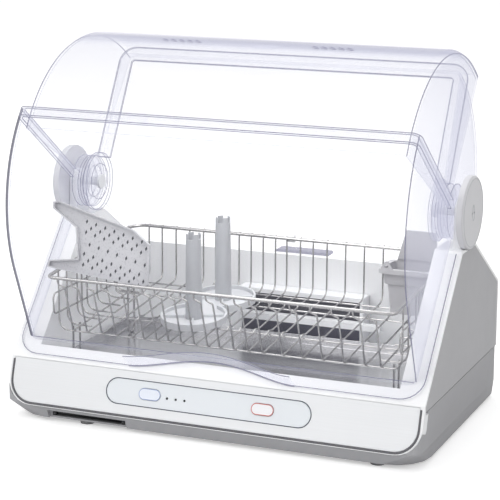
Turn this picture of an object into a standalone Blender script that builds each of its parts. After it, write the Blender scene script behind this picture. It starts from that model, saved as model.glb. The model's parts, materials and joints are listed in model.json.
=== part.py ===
"""Electric dish dryer: a counter-top dryer with a three-piece clear barrel hood.

Metres, +Z up, X to the right, Y to the back. The origin is the middle of the bottom of the whole
object. The work is laid out about the hood's hinge line: the empty "layout" carries every piece and
stands under that line, so y is measured from the hinge line and z from the table.
Side outlines are (y, z) points. Angles about the hinge line start at the front and run upwards.
"""
import math

import bmesh
import bpy
from mathutils import Matrix, Vector

for old in list(bpy.data.objects):
    bpy.data.objects.remove(old)

# Fits and walls
seat_gap = 0.0003        # between pieces that touch
slide_gap = 0.0005       # between pieces that move past each other
overrun = 0.003          # how far a cut runs past the face it opens
sink = 0.0008            # how far one joined shape enters the other
weld = 0.00001           # points closer than this are one point
shell_wall = 0.0025      # white and grey mouldings
tower_wall = 0.0031
clear_wall = 0.0024      # clear hood

# Hinge line of the hood
hinge_height = 0.2455

# Body
tower_width = 0.0312     # from the chamber out to the body's sides
ledge_front = 0.1490     # front edge of the ledge, ahead of the hinge line
ledge_height = 0.0700
hinge_rise = 0.0380      # hinge line above the towers
tower_front = 0.0265
tower_back = 0.0240
tower_slope = math.radians(33.0)
body_back = 0.1265
seam_height = 0.0625
ledge_width = 0.0170     # white ledge between the front panel and the chamber
chamber_half = 0.2128
chamber_floor = 0.0480
chamber_front = 0.1275
chamber_back = 0.1115
chamber_draft = 0.0020

# Fascia that carries the silver front panel
fascia_bottom = 0.0190
fascia_tilt = math.radians(17.9)
fascia_depth = 0.0145
fascia_corner = 0.0290
panel_thick = 0.0024
panel_rim = 0.0030
panel_side_rim = 0.0045
panel_top_rim = 0.0012
pill_half = 0.1210
pill_half_height = 0.0142
pill_rise = 0.0022       # centre of the control plate above the panel's centre
pill_gap = 0.0004
pocket_half = 0.1080     # pocket for the board, behind the control plate
pocket_half_height = 0.0112
button_half = 0.0130
button_half_height = 0.0062
button_proud = 0.0008
button_depth = 0.0052
button_flange = 0.0015
button_flange_depth = 0.0026
button_stem = 0.0022
button_stem_depth = 0.0068
timer_place = -0.0680
power_place = 0.0655
lamp_radius = 0.0012
lamp_first = -0.0470
lamp_pitch = 0.0105
lamp_drop = -0.0018
lamp_count = 3
board_half = 0.1000
board_half_height = 0.0095
board_thick = 0.0016
board_depth = 0.0100
board_post_place = 0.0900
board_post_radius = 0.0030

# Lower base
base_bottom = 0.0045
base_front = 0.1640
base_back = 0.1275
base_in = 0.0002         # how far the base stays inside the body
base_floor = 0.0020
hollow_front = 0.1315
base_nose_corner = 0.0420
base_corner = 0.0080
hull_step = 0.0170       # height over which the hull narrows to its bottom outline
hull_inset = 0.0060
foot_radius = 0.0085
foot_front = 0.1440
foot_back = 0.1000
foot_left = 0.1520
foot_right = 0.1920
screw_radius = 0.0032
screw_head = 0.0016
screw_seat = 0.0540      # height of the screw heads, up inside their posts
screw_length = 0.0160
screw_boss = 0.0100
post_radius = 0.0060
post_front = 0.1050
post_back = 0.1060
post_in = 0.0190

# Drip tray that pulls out under the front
drip_left = 0.1900
drip_right = 0.1000
drip_height = 0.0070
drip_length = 0.1150
drip_wall = 0.0014
drip_recess = 0.0090
drip_grip = 0.0040
scoop_margin = 0.0040

# Hood
bow_forward = 0.0040     # centre of the front cover's arc, from the hinge line
bow_drop = 0.0060
bow_radius = 0.1782
rim_angle = math.radians(39.5)
skirt_angle = math.radians(-22.0)
rim_band = 0.0110
rim_proud = 0.0015
edge_round = 0.0080
front_flange_proud = 0.0095
front_flange_thick = 0.0020
front_flange_low = 0.0042
front_flange_corner = 0.0250
front_flange_stop = 0.0045  # short of the towers' top
arm_width = 0.0090
arm_proud = 0.0015
lip_half = 0.0980        # finger lip at the foot of the front cover
lip_rise = 0.0157
lip_reach = 0.0220
lip_thick = 0.0022
upper_radius = 0.1745
upper_front_angle = math.radians(30.0)
upper_back_angle = math.radians(129.0)
vent_angle = math.radians(84.0)
vent_start = 0.0700
vent_pitch = 0.0100
vent_count = 5
vent_length = 0.0100
vent_width = 0.0022
vent_lean = math.radians(35.0)
tab_place = 0.0100
tab_half = 0.0140
tab_depth = 0.0040
tab_proud = 0.0011
tail_forward = 0.0060    # centre of the rear cover's arc
tail_rise = 0.0080
tail_radius = 0.1560
rear_in = 0.0020         # rear cover, inside the outer faces of its hubs
rear_angle = math.radians(120.0)
rear_flange_radius = 0.1705
rear_flange_proud = 0.0051
rear_flange_thick = 0.0024
rear_flange_sink = 0.0020
rear_flange_corner = 0.0100
rear_lift = 0.0006
grip_place = 0.0065
grip_half = 0.0335
grip_front = 0.1100
grip_back = 0.1300
grip_drop = 0.0910       # below the hinge line
grip_thick = 0.0030

# Hinges
hub_radius = 0.0300
rear_hub_radius = 0.0340
pin_radius = 0.0050
pin_head_radius = 0.0085
pin_head = 0.0030
hub_gap = 0.0006         # between hubs that turn on the same pin
rear_hub_thick = 0.0058
upper_hub_thick = 0.0059
front_hub_thick = 0.0095
front_gap = 0.0010       # front cover to bracket
bracket_thick = 0.0086
bracket_in = 0.0054      # bracket's outer face, in from the body's side
cap_radius = 0.0405
cap_sunk = 0.0047
cap_proud = 0.0035
cap_seat = 0.0008
bracket_half = 0.0160
bracket_radius = 0.0140
cap_edge = 0.0015
cap_slot_half = 0.0065
cap_slot_width = 0.0014
cap_slot_depth = 0.0010

# Wire basket
wire_radius = 0.0010
rim_wire_radius = 0.0020
basket_gap = 0.0078      # to the chamber's sides
basket_front = 0.1350
basket_front_height = 0.1610
basket_back = 0.0850
basket_back_height = 0.1765
basket_foot_front = 0.1130
basket_floor_front = 0.0950
basket_floor_back = 0.1120
wire_shares = (-0.900, -0.814, -0.723, -0.635, -0.545, -0.466, -0.388, -0.316, -0.240, -0.164, -0.087,
               -0.016, 0.068, 0.147, 0.232, 0.345, 0.458, 0.571, 0.689, 0.806, 0.894)
jog_drop = 0.0075
jog_step = 0.0050
jog_aside = 0.0073
loop_front = 0.1190      # wire loop welded outside each side of the basket
loop_back = 0.0450
loop_low = 0.1135
loop_high = 0.1375
cross_wire_front = 0.0530
cross_wire_back = 0.0300
side_wire_count = 9
leg_front = 0.0900
leg_back = 0.0500
clip_half = 0.0060
clip_reach = 0.0035
clip_height = 0.0100
clip_round = 0.0010

# Drain tray on the chamber floor
drain_wall = 0.0010
drain_rim = 0.0120
drain_margin = 0.0030
drain_corner = 0.0140

# Cup stand
stand_place = -0.0628
stand_front = 0.0085
stand_radius = 0.0385    # each of its two round dishes
stand_turn = math.radians(5.4)
stand_thick = 0.0080
stand_rim = 0.0024
stand_dish = 0.0045
tube_radius = 0.0100
tube_taper = 0.0014
tube_wall = 0.0015
tube_height = 0.1000
tube_half_spacing = 0.0345
crown_depth = 0.0060
crown_notch = 0.0060

# Cutlery holder
cutlery_gap = 0.0228     # to the chamber's right side
cutlery_length = 0.0560
cutlery_front = 0.0300
cutlery_back = 0.0720
cutlery_low = 0.1125
cutlery_rim = 0.1660
cutlery_corner = 0.0060
cutlery_drain = 0.0030
cutlery_drains = 4
cutlery_top = 0.2030
cutlery_wall = 0.0016
cutlery_taper = 0.0040
cutlery_lip = 0.0040
cutlery_lip_thick = 0.0050
cutlery_slant = 0.0120   # its back plate is narrower at the top
cutlery_shelf = 0.1480   # below this the box is narrower
cutlery_step = 0.0030
ear_width = 0.0150
ear_height = 0.0120
ear_thick = 0.0030
ear_bore = 0.0022

# Perforated side tray
tray_beyond = 0.0112     # its corner, beyond the basket's side
tray_foot = 0.1271
tray_foot_height = 0.1711
tray_lean = math.radians(19.8)
tray_droop = math.radians(5.8)
tray_length = 0.1341
tray_height = 0.0754
tray_wall = 0.0016
tray_depth = 0.0060
tray_shares = ((0.079, 0.005), (0.955, 0.008), (1.000, 0.055), (0.939, 0.635), (0.775, 0.800),
               (0.049, 1.000), (0.000, 0.973), (0.012, 0.874), (0.254, 0.663), (0.335, 0.216),
               (0.081, 0.110))
slot_half = 0.0023
slot_half_width = 0.0010
slot_first = 0.0443      # the first slot of the highest row
slot_high = 0.0591
slot_pitch = 0.0118
slot_fall = 0.0016       # from one slot of a row to the next
slot_row = 0.0060
slot_aside = 0.0009      # from one row to the next
slot_rows = (0, 1, 2, 4, 6, 7, 8)
slot_columns = 7

# Warm-air outlet, heater, fan
outlet_left = -0.0670
outlet_right = 0.0920
outlet_front = 0.0885
outlet_low = 0.0505
outlet_high = 0.1110
outlet_wall = 0.0020
outlet_opening = 0.0225
outlet_bar = 0.0100      # between its two openings
ledge_bar_reach = 0.0070 # shelf on the bar
ledge_bar_thick = 0.0075
ledge_bar_right = 0.1160
duct_left = -0.0600
duct_right = 0.0800
duct_front = 0.0742
duct_back = 0.1068
heater_half = 0.0600
heater_low = 0.0260
heater_high = 0.0400
heater_bars = 10
heater_bar = 0.0016
fan_place = 0.1500
fan_radius = 0.0420
fan_low = 0.0150
fan_high = 0.0350
fan_disc = 0.0020
fan_blade_depth = 0.0100
fan_blade = 0.0012
fan_blades = 10
fan_gap = 0.0030
fan_bore = 0.0025
fan_boss = 0.0050
housing_low = 0.0105
housing_wall = 0.0018
motor_radius = 0.0130
motor_high = 0.0270
shaft_radius = 0.0020
inlet_radius = 0.0260
inlet_inner = 0.0165
inlet_slots = 6
inlet_rib = 0.0020
grille_half = 0.0500
grille_place = 0.1500
grille_low = 0.0160
grille_high = 0.0480
grille_slot = 0.0030
grille_pitch = 0.0083
filter_thick = 0.0030
gland_place = 0.2050
gland_height = 0.0250
gland_radius = 0.0070
gland_bore = 0.0035
gland_flange = 0.0020
gland_length = 0.0060

# Worked-out places
tower_top = hinge_height - hinge_rise
ledge_slope = math.atan2(tower_top - ledge_height, ledge_front - tower_front)
ledge_rise = Vector((math.cos(ledge_slope), math.sin(ledge_slope)))
ledge_out = Vector((-ledge_rise.y, ledge_rise.x))
fascia_rise = Vector((math.sin(fascia_tilt), math.cos(fascia_tilt)))
fascia_length = (ledge_height - fascia_bottom) / math.cos(fascia_tilt)
fascia_front = ledge_front + fascia_length * math.sin(fascia_tilt)
side_half = chamber_half + tower_width
base_half = side_half - base_in
post_half = side_half - post_in
cap_inner = side_half - cap_sunk
cap_outer = side_half + cap_proud
bracket_outer = side_half - bracket_in
bracket_inner = bracket_outer - bracket_thick
front_half = bracket_inner - front_gap
front_flange_half = front_half + front_flange_proud
front_hub_inner = front_half - front_hub_thick
upper_half = front_hub_inner - hub_gap
upper_hub_inner = upper_half - upper_hub_thick
rear_hub_outer = upper_hub_inner - hub_gap
rear_hub_inner = rear_hub_outer - rear_hub_thick
rear_half = rear_hub_outer - rear_in
rear_flange_half = rear_half + rear_flange_proud
pin_head_face = rear_hub_inner - hub_gap
basket_half = chamber_half - basket_gap
cutlery_right = chamber_half - cutlery_gap
cutlery_left = cutlery_right - cutlery_length
back_height = tower_top - (body_back - tower_back) * math.tan(tower_slope)
tub_front = chamber_front + shell_wall
tub_bottom = chamber_floor - shell_wall
lip_edge = Vector((-ledge_front, ledge_height)) + ledge_rise * ledge_width
front_reach = bow_radius + bow_forward
rear_reach = tail_radius - tail_forward

# Collections, and the empties that carry the pieces
parts = bpy.data.collections.new("Electric dish dryer")
cutters = bpy.data.collections.new("Cutters")
for collection in (parts, cutters):
    bpy.context.scene.collection.children.link(collection)

layout = bpy.data.objects.new("layout", None)
layout.location = (0, (front_reach - rear_reach) / 2, 0)
parts.objects.link(layout)


def frame(origin, along, up):
    """A flat drawing's place: where its u and v axes point, and where they start."""
    u_axis = Vector(along).normalized()
    v_axis = Vector(up).normalized()
    place = Matrix((u_axis, v_axis, u_axis.cross(v_axis))).transposed().to_4x4()
    place.translation = Vector(origin)
    return place


side_view = frame((0, 0, 0), (0, 1, 0), (0, 0, 1))
hinge_view = frame((0, 0, hinge_height), (0, 1, 0), (0, 0, 1))
plan_view = Matrix()
ledge_view = frame((0, -ledge_front, ledge_height), (1, 0, 0), (0, ledge_rise.x, ledge_rise.y))
fascia_normal = Vector((0, -fascia_rise.y, fascia_rise.x))
fascia_view = frame((0, -fascia_front, fascia_bottom), (1, 0, 0), (0, fascia_rise.x, fascia_rise.y))
panel_middle = fascia_length / 2


def material(name, colour, roughness, metallic=0.0, clear=0.0):
    """A plain finish for one piece."""
    finish = bpy.data.materials.new(name)
    finish.use_nodes = True
    shader = finish.node_tree.nodes["Principled BSDF"]
    shader.inputs["Base Color"].default_value = (*colour, 1.0)
    shader.inputs["Roughness"].default_value = roughness
    shader.inputs["Metallic"].default_value = metallic
    shader.inputs["Transmission Weight"].default_value = clear
    return finish


finishes = {
    "white": ((0.86, 0.87, 0.88), 0.35, 0.0, 0.0),
    "grey": ((0.55, 0.55, 0.57), 0.45, 0.0, 0.0),
    "dark_grey": ((0.42, 0.42, 0.44), 0.50, 0.0, 0.0),
    "silver": ((0.80, 0.81, 0.82), 0.35, 0.6, 0.0),
    "plate": ((0.72, 0.76, 0.79), 0.30, 0.0, 0.0),
    "button": ((0.78, 0.84, 0.90), 0.35, 0.0, 0.0),
    "clear": ((0.90, 0.91, 0.96), 0.08, 0.0, 0.9),
    "steel": ((0.62, 0.62, 0.62), 0.22, 1.0, 0.0),
    "speckle": ((0.60, 0.60, 0.62), 0.55, 0.0, 0.0),
    "tube": ((0.50, 0.51, 0.54), 0.40, 0.0, 0.0),
    "black": ((0.03, 0.03, 0.04), 0.60, 0.0, 0.0),
    "rubber": ((0.30, 0.30, 0.31), 0.80, 0.0, 0.0),
    "board": ((0.05, 0.22, 0.12), 0.50, 0.0, 0.0),
    "lamp": ((0.10, 0.11, 0.12), 0.20, 0.0, 0.0),
    "coil": ((0.30, 0.20, 0.16), 0.40, 1.0, 0.0),
}


def add(name, mesh, finish):
    """Puts a finished mesh among the pieces, each with its own material."""
    piece = bpy.data.objects.new(name, mesh)
    piece.parent = layout
    parts.objects.link(piece)
    piece.data.materials.clear()
    piece.data.materials.append(material(name, *finishes[finish]))
    return piece


def as_mesh(curve_object, place):
    """The closed mesh of a filled curve, in the layout's frame."""
    parts.objects.link(curve_object)
    seen = curve_object.evaluated_get(bpy.context.evaluated_depsgraph_get())
    mesh = bpy.data.meshes.new_from_object(seen)
    curve = curve_object.data
    bpy.data.objects.remove(curve_object)
    bpy.data.curves.remove(curve)
    shape = bmesh.new()
    shape.from_mesh(mesh)
    bmesh.ops.remove_doubles(shape, verts=shape.verts, dist=weld)
    bmesh.ops.transform(shape, matrix=place, verts=shape.verts)
    bmesh.ops.recalc_face_normals(shape, faces=shape.faces)
    shape.to_mesh(mesh)
    shape.free()
    return mesh


def plate(name, loops, low, high, place, finish="white"):
    """A flat outline with its holes, from low to high above its plane."""
    curve = bpy.data.curves.new(name, "CURVE")
    curve.dimensions = "2D"
    curve.fill_mode = "BOTH"
    curve.extrude = (high - low) / 2
    for loop in loops:
        spline = curve.splines.new("POLY")
        spline.points.add(len(loop) - 1)
        for point, (u, v) in zip(spline.points, loop):
            point.co = (u, v, 0, 1)
        spline.use_cyclic_u = True
    middle = place @ Matrix.Translation((0, 0, (low + high) / 2))
    mesh = as_mesh(bpy.data.objects.new(name, curve), middle)
    mesh.name = name
    return add(name, mesh, finish)


def wires(name, routes, radius, finish="steel", sides=0):
    """Round wires along their routes."""
    curve = bpy.data.curves.new(name, "CURVE")
    curve.dimensions = "3D"
    curve.bevel_depth = radius
    curve.bevel_resolution = sides
    curve.use_fill_caps = True
    for route in routes:
        spline = curve.splines.new("POLY")
        spline.points.add(len(route) - 1)
        for point, place in zip(spline.points, route):
            point.co = (*place, 1)
    mesh = as_mesh(bpy.data.objects.new(name, curve), Matrix())
    mesh.name = name
    return add(name, mesh, finish)


def box(name, low, high, finish="white", rounding=0.0):
    """A block between two corners, with its edges rounded if asked."""
    shape = bmesh.new()
    bmesh.ops.create_cube(shape, size=1)
    size = Vector(high) - Vector(low)
    bmesh.ops.scale(shape, vec=size, verts=shape.verts)
    bmesh.ops.translate(shape, vec=(Vector(high) + Vector(low)) / 2, verts=shape.verts)
    if rounding:
        bmesh.ops.bevel(shape, geom=shape.edges[:], offset=rounding, segments=2, profile=0.5,
                        affect="EDGES", material=-1)
    mesh = bpy.data.meshes.new(name)
    shape.to_mesh(mesh)
    shape.free()
    return add(name, mesh, finish)


def cylinder(name, base, axis, length, radius, finish="white", end_radius=None, sides=32):
    """A round bar from its base along an axis."""
    shape = bmesh.new()
    bmesh.ops.create_cone(shape, cap_ends=True, segments=sides, radius1=radius,
                          radius2=radius if end_radius is None else end_radius, depth=length)
    bmesh.ops.translate(shape, vec=(0, 0, length / 2), verts=shape.verts)
    turn = Vector((0, 0, 1)).rotation_difference(Vector(axis)).to_matrix().to_4x4()
    turn.translation = Vector(base)
    bmesh.ops.transform(shape, matrix=turn, verts=shape.verts)
    mesh = bpy.data.meshes.new(name)
    shape.to_mesh(mesh)
    shape.free()
    piece = add(name, mesh, finish)
    smooth(piece)
    return piece


def smooth(piece):
    """Shades round faces smooth and keeps corners crisp."""
    piece.data.shade_smooth()
    piece.data.set_sharp_from_angle(angle=math.radians(35))


def boolean(target, tool, kind):
    """Cuts the tool from the target, or joins it on."""
    change = target.modifiers.new(kind.lower(), "BOOLEAN")
    change.operation = kind
    change.solver = "EXACT"
    change.object = tool
    parts.objects.unlink(tool)
    cutters.objects.link(tool)
    tool.hide_render = True
    tool.display_type = "WIRE"


def cut(target, *tools):
    for tool in tools:
        boolean(target, tool, "DIFFERENCE")


def join(target, *tools):
    for tool in tools:
        boolean(target, tool, "UNION")


def set_origin(piece, point):
    """Moves a piece's origin to a point of the layout without moving the piece."""
    piece.data.transform(Matrix.Translation(-Vector(point)))
    piece.location = point


def arc(centre, radius, first, last, steps):
    """Points of an arc, with angles from the front upwards."""
    points = []
    for step in range(steps + 1):
        angle = first + (last - first) * step / steps
        points.append(Vector((centre[0] - radius * math.cos(angle),
                              centre[1] + radius * math.sin(angle))))
    return points


def rounded(corners, steps=4):
    """An outline whose corners (u, v, radius) are rounded."""
    outline = []
    for index, (u, v, radius) in enumerate(corners):
        here = Vector((u, v))
        if radius <= 0:
            outline.append(here)
            continue
        before = (Vector(corners[index - 1][:2]) - here).normalized()
        after = (Vector(corners[(index + 1) % len(corners)][:2]) - here).normalized()
        half = before.angle(after) / 2
        centre = here + (before + after).normalized() * radius / math.sin(half)
        start = here + before * radius / math.tan(half) - centre
        end = here + after * radius / math.tan(half) - centre
        first = math.atan2(start.y, start.x)
        turn = (math.atan2(end.y, end.x) - first + math.pi) % (2 * math.pi) - math.pi
        for step in range(steps + 1):
            angle = first + turn * step / steps
            outline.append(centre + radius * Vector((math.cos(angle), math.sin(angle))))
    return outline


def oblong(middle_u, middle_v, half, half_height, steps=3):
    """A long outline with half-round ends."""
    return rounded([(middle_u - half, middle_v - half_height, half_height),
                    (middle_u + half, middle_v - half_height, half_height),
                    (middle_u + half, middle_v + half_height, half_height),
                    (middle_u - half, middle_v + half_height, half_height)], steps)


def ring(middle_u, middle_v, radius_u, radius_v, steps):
    """An ellipse as an outline."""
    turns = [2 * math.pi * step / steps for step in range(steps)]
    return [Vector((middle_u + radius_u * math.cos(turn), middle_v + radius_v * math.sin(turn)))
            for turn in turns]


def inset(outline, distance):
    """The outline moved inwards by a distance; its points run anticlockwise."""
    moved = []
    for index, here in enumerate(outline):
        before = (here - outline[index - 1]).normalized()
        after = (outline[(index + 1) % len(outline)] - here).normalized()
        inward = Vector((-before.y, before.x)) + Vector((-after.y, after.x))
        moved.append(here + inward * distance / (1 + before.dot(after)))
    return moved


# Lower base: a tub whose front narrows like a hull down to its bottom outline
def base_outline(height):
    """The plan of the lower base at a height above its bottom."""
    share = min(height / hull_step, 1)
    drawn_in = hull_inset * (1 - share)
    nose = base_nose_corner + (base_corner - base_nose_corner) * share
    half = base_half - drawn_in / 3
    return rounded([(-half, -base_front + drawn_in, nose), (half, -base_front + drawn_in, nose),
                    (half, base_back, base_corner), (-half, base_back, base_corner)])


def loft(name, sections, finish):
    """A closed solid through plan outlines (height, outline) with equal counts of points."""
    shape = bmesh.new()
    rows = []
    for height, outline in sections:
        rows.append([shape.verts.new((u, v, height)) for u, v in outline])
    for low, high in zip(rows, rows[1:]):
        for index in range(len(low)):
            shape.faces.new((low[index - 1], low[index], high[index], high[index - 1]))
    shape.faces.new(reversed(rows[0]))
    shape.faces.new(rows[-1])
    mesh = bpy.data.meshes.new(name)
    shape.to_mesh(mesh)
    shape.free()
    return add(name, mesh, finish)


def fascia_outline(margin):
    """The fascia's front outline, grown by a margin; its lower corners are large."""
    half = side_half + margin
    corner = fascia_corner + margin
    return rounded([(-half, -margin, corner), (half, -margin, corner),
                    (half, fascia_length + margin, 0), (-half, fascia_length + margin, 0)], 6)


base_top = seam_height - seat_gap
levels = (0, hull_step / 2, hull_step, base_top - base_bottom)
lower_base = loft("lower_base", [(base_bottom + level, base_outline(level)) for level in levels],
                  "dark_grey")
inner_half = base_half - shell_wall
inner_back = base_back - shell_wall
floor_top = base_bottom + base_floor
hollow = rounded([(-inner_half, -hollow_front, base_corner), (inner_half, -hollow_front, base_corner),
                  (inner_half, inner_back, base_corner), (-inner_half, inner_back, base_corner)])
cut(lower_base,
    plate("base_hollow", [hollow], floor_top, seam_height + overrun, plan_view),
    plate("fascia_seat", [fascia_outline(seat_gap)], -fascia_depth - seat_gap,
          fascia_depth, fascia_view))

# Mouth of the drip tray, open to the front through a hand scoop
drip_back = drip_length - base_front
mouth_low = drip_height - seat_gap
scoop_top = fascia_bottom - (fascia_depth + seat_gap) * fascia_rise.x - seat_gap
cut(lower_base,
    box("drip_mouth", (-drip_left - slide_gap, -base_front - overrun, mouth_low),
        (-drip_right + slide_gap, drip_back + slide_gap, scoop_top)),
    box("hand_scoop", (-drip_left - scoop_margin, -base_front - overrun, base_bottom - overrun),
        (-drip_right + scoop_margin, drip_recess - base_front, scoop_top)))

# Screws that hold the two halves, each in a post of the base
screw_places = [(side * post_half, y) for y in (-post_front, post_back) for side in (-1, 1)]
for number, (x, y) in enumerate(screw_places, 1):
    join(lower_base, cylinder(f"screw_post_{number}", (x, y, floor_top - sink), (0, 0, 1),
                              base_top - floor_top + sink, post_radius, sides=8))
shank = screw_radius / 2
for number, (x, y) in enumerate(screw_places, 1):
    cut(lower_base,
        cylinder(f"screw_bore_{number}", (x, y, base_bottom), (0, 0, 1), seam_height,
                 shank + seat_gap, sides=8),
        cylinder(f"screw_sink_{number}", (x, y, base_bottom - overrun), (0, 0, 1),
                 screw_seat - base_bottom + overrun, screw_radius + seat_gap, sides=8))
    screw = cylinder(f"base_screw_{number}", (x, y, screw_seat - screw_head - seat_gap), (0, 0, 1),
                     screw_head, screw_radius, "steel", sides=8)
    join(screw, cylinder(f"screw_shank_{number}", (x, y, screw_seat - seat_gap - sink), (0, 0, 1),
                         screw_length, shank, sides=8))

# Rubber feet
foot_places = [(-foot_left, -foot_front), (foot_right, -foot_front),
               (-foot_right, foot_back), (foot_right, foot_back)]
for number, (x, y) in enumerate(foot_places, 1):
    cylinder(f"foot_{number}", (x, y, 0), (0, 0, 1), base_bottom - seat_gap,
             foot_radius - seat_gap, "rubber", end_radius=foot_radius, sides=16)

# Air intake in the back of the base, its filter, and the cord gland
slot_count = int(2 * grille_half / grille_pitch)
for number in range(slot_count):
    x = grille_place - grille_half + (number + 1 / 2) * grille_pitch
    cut(lower_base, box(f"grille_slot_{number + 1}",
                        (x - grille_slot / 2, inner_back - overrun, grille_low),
                        (x + grille_slot / 2, base_back + overrun, grille_high)))
box("intake_filter", (grille_place - grille_half, inner_back - seat_gap - filter_thick, grille_low),
    (grille_place + grille_half, inner_back - seat_gap, grille_high), "black")
cut(lower_base, cylinder("gland_hole", (-gland_place, inner_back - overrun, gland_height), (0, 1, 0),
                         shell_wall + overrun + overrun, gland_radius - gland_flange + seat_gap,
                         sides=12))
cord_gland = cylinder("cord_gland", (-gland_place, base_back + seat_gap, gland_height), (0, 1, 0),
                      gland_length, gland_radius, "black", sides=12)
join(cord_gland, cylinder("gland_neck", (-gland_place, inner_back - seat_gap, gland_height),
                          (0, 1, 0), shell_wall + seat_gap + seat_gap + sink,
                          gland_radius - gland_flange, sides=12))
cut(cord_gland, cylinder("gland_bore", (-gland_place, inner_back - overrun, gland_height),
                         (0, 1, 0), gland_length + shell_wall + overrun + overrun, gland_bore,
                         sides=12))

# Drip tray
drip_top = scoop_top - seat_gap
drip_tray = box("drip_tray", (-drip_left, -base_front + drip_recess, drip_height),
                (-drip_right, drip_back, drip_top), "dark_grey")
cut(drip_tray,
    box("drip_inside", (-drip_left + drip_wall, -base_front + drip_recess + drip_grip + drip_wall,
                        drip_height + drip_wall),
        (-drip_right - drip_wall, drip_back - drip_wall, drip_top + overrun)),
    box("drip_grip_notch", (-drip_left + drip_grip, -base_front + drip_recess - overrun,
                            drip_height - overrun),
        (-drip_right - drip_grip, -base_front + drip_recess + drip_grip, drip_top - drip_wall)))


# Upper shell: towers and ledge, fascia and chamber in one white moulding
def side_outline(bottom):
    """The body's side view, down to a given height."""
    return [Vector((-ledge_front, bottom)), Vector((body_back, bottom)),
            Vector((body_back, back_height)), Vector((tower_back, tower_top)),
            Vector((-tower_front, tower_top)), Vector((-ledge_front, ledge_height))]


def panel_outline(margin):
    """The silver front panel's outline, drawn in by a margin."""
    half = side_half - panel_side_rim - margin
    corner = fascia_corner - panel_rim - margin
    low = panel_rim + margin
    high = fascia_length - panel_top_rim - margin
    return rounded([(-half, low, corner), (half, low, corner), (half, high, 0), (-half, high, 0)], 6)


upper_shell = plate("upper_shell", [side_outline(seam_height)], -side_half, side_half, side_view)
join(upper_shell,
     plate("fascia", [fascia_outline(0)], -fascia_depth, 0, fascia_view),
     box("chamber_tub", (-chamber_half - shell_wall, -tub_front, tub_bottom),
         (chamber_half + shell_wall, chamber_back + shell_wall, seam_height + sink)))
open_top = hinge_height + tower_back
chamber = [(-chamber_front, chamber_floor), (chamber_back, chamber_floor),
           (chamber_back + chamber_draft, open_top), (-ledge_front - ledge_front, open_top), lip_edge]
cut(upper_shell, plate("chamber", [chamber], -chamber_half, chamber_half, side_view))
hollow_inner = chamber_half + tower_wall
hollow_outer = side_half - panel_thick - tower_wall
tower_hollow = inset(side_outline(seam_height - shell_wall - overrun), shell_wall)
bracket = (arc((0, 0), bracket_radius, 0, math.pi, 8)
           + [Vector((bracket_half, tower_top - hinge_height - sink)),
              Vector((-bracket_half, tower_top - hinge_height - sink))])
for side, word in ((-1, "left"), (1, "right")):
    def across(near, far):
        """Two distances from the middle, in order along X on this side."""
        return sorted((side * near, side * far))

    join(upper_shell, plate(f"bracket_{word}", [bracket], *across(bracket_inner, bracket_outer),
                            hinge_view))
    cut(upper_shell,
        plate(f"tower_hollow_{word}", [tower_hollow], *across(hollow_inner, hollow_outer), side_view),
        plate(f"panel_recess_{word}", [inset(side_outline(seam_height - panel_rim - overrun), panel_rim)],
              *across(side_half - panel_thick, side_half + overrun), side_view),
        plate(f"cap_seat_{word}", [ring(0, 0, cap_radius + cap_seat, cap_radius + cap_seat, 24)],
              *across(cap_inner - seat_gap, cap_outer + overrun), hinge_view),
        cylinder(f"pin_bore_{word}", (side * (bracket_inner - overrun), 0, hinge_height),
                 (side, 0, 0), bracket_outer - bracket_inner + overrun + overrun,
                 pin_radius + seat_gap, sides=16))
    side_panel = plate(f"side_panel_{word}", [inset(side_outline(seam_height - panel_rim), panel_rim + seat_gap)],
                       *across(side_half - panel_thick + seat_gap, side_half), side_view, "grey")
    cut(side_panel, plate(f"cap_clearance_{word}",
                          [ring(0, 0, cap_radius + cap_seat, cap_radius + cap_seat, 24)],
                          *across(cap_inner - overrun, cap_outer + overrun), hinge_view))

pocket = oblong(0, panel_middle + pill_rise, pocket_half, pocket_half_height)
cut(upper_shell,
    plate("panel_seat", [panel_outline(0)], -panel_thick, overrun, fascia_view),
    plate("board_pocket", [pocket], shell_wall - fascia_depth, overrun, fascia_view),
    box("outlet_opening", (duct_left, outlet_front + outlet_wall + outlet_wall, tub_bottom - overrun),
        (duct_right, duct_back - outlet_wall, chamber_floor + overrun)))
for side in (-1, 1):
    base = fascia_view @ Vector((side * board_post_place, panel_middle + pill_rise,
                                 shell_wall - fascia_depth - sink))
    join(upper_shell, cylinder(f"board_post_{side}", base, fascia_normal,
                               fascia_depth - shell_wall + sink - board_depth - seat_gap,
                               board_post_radius, sides=16))
for number, (x, y) in enumerate(screw_places, 1):
    near, far = sorted((math.copysign(hollow_inner - sink, x), math.copysign(hollow_outer + sink, x)))
    join(upper_shell, box(f"screw_boss_{number}", (near, y - post_radius, seam_height + seat_gap),
                          (far, y + post_radius, seam_height + screw_boss)))
    cut(upper_shell, cylinder(f"boss_bore_{number}", (x, y, screw_seat), (0, 0, 1),
                              screw_length + seat_gap, shank + seat_gap, sides=8))

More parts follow.
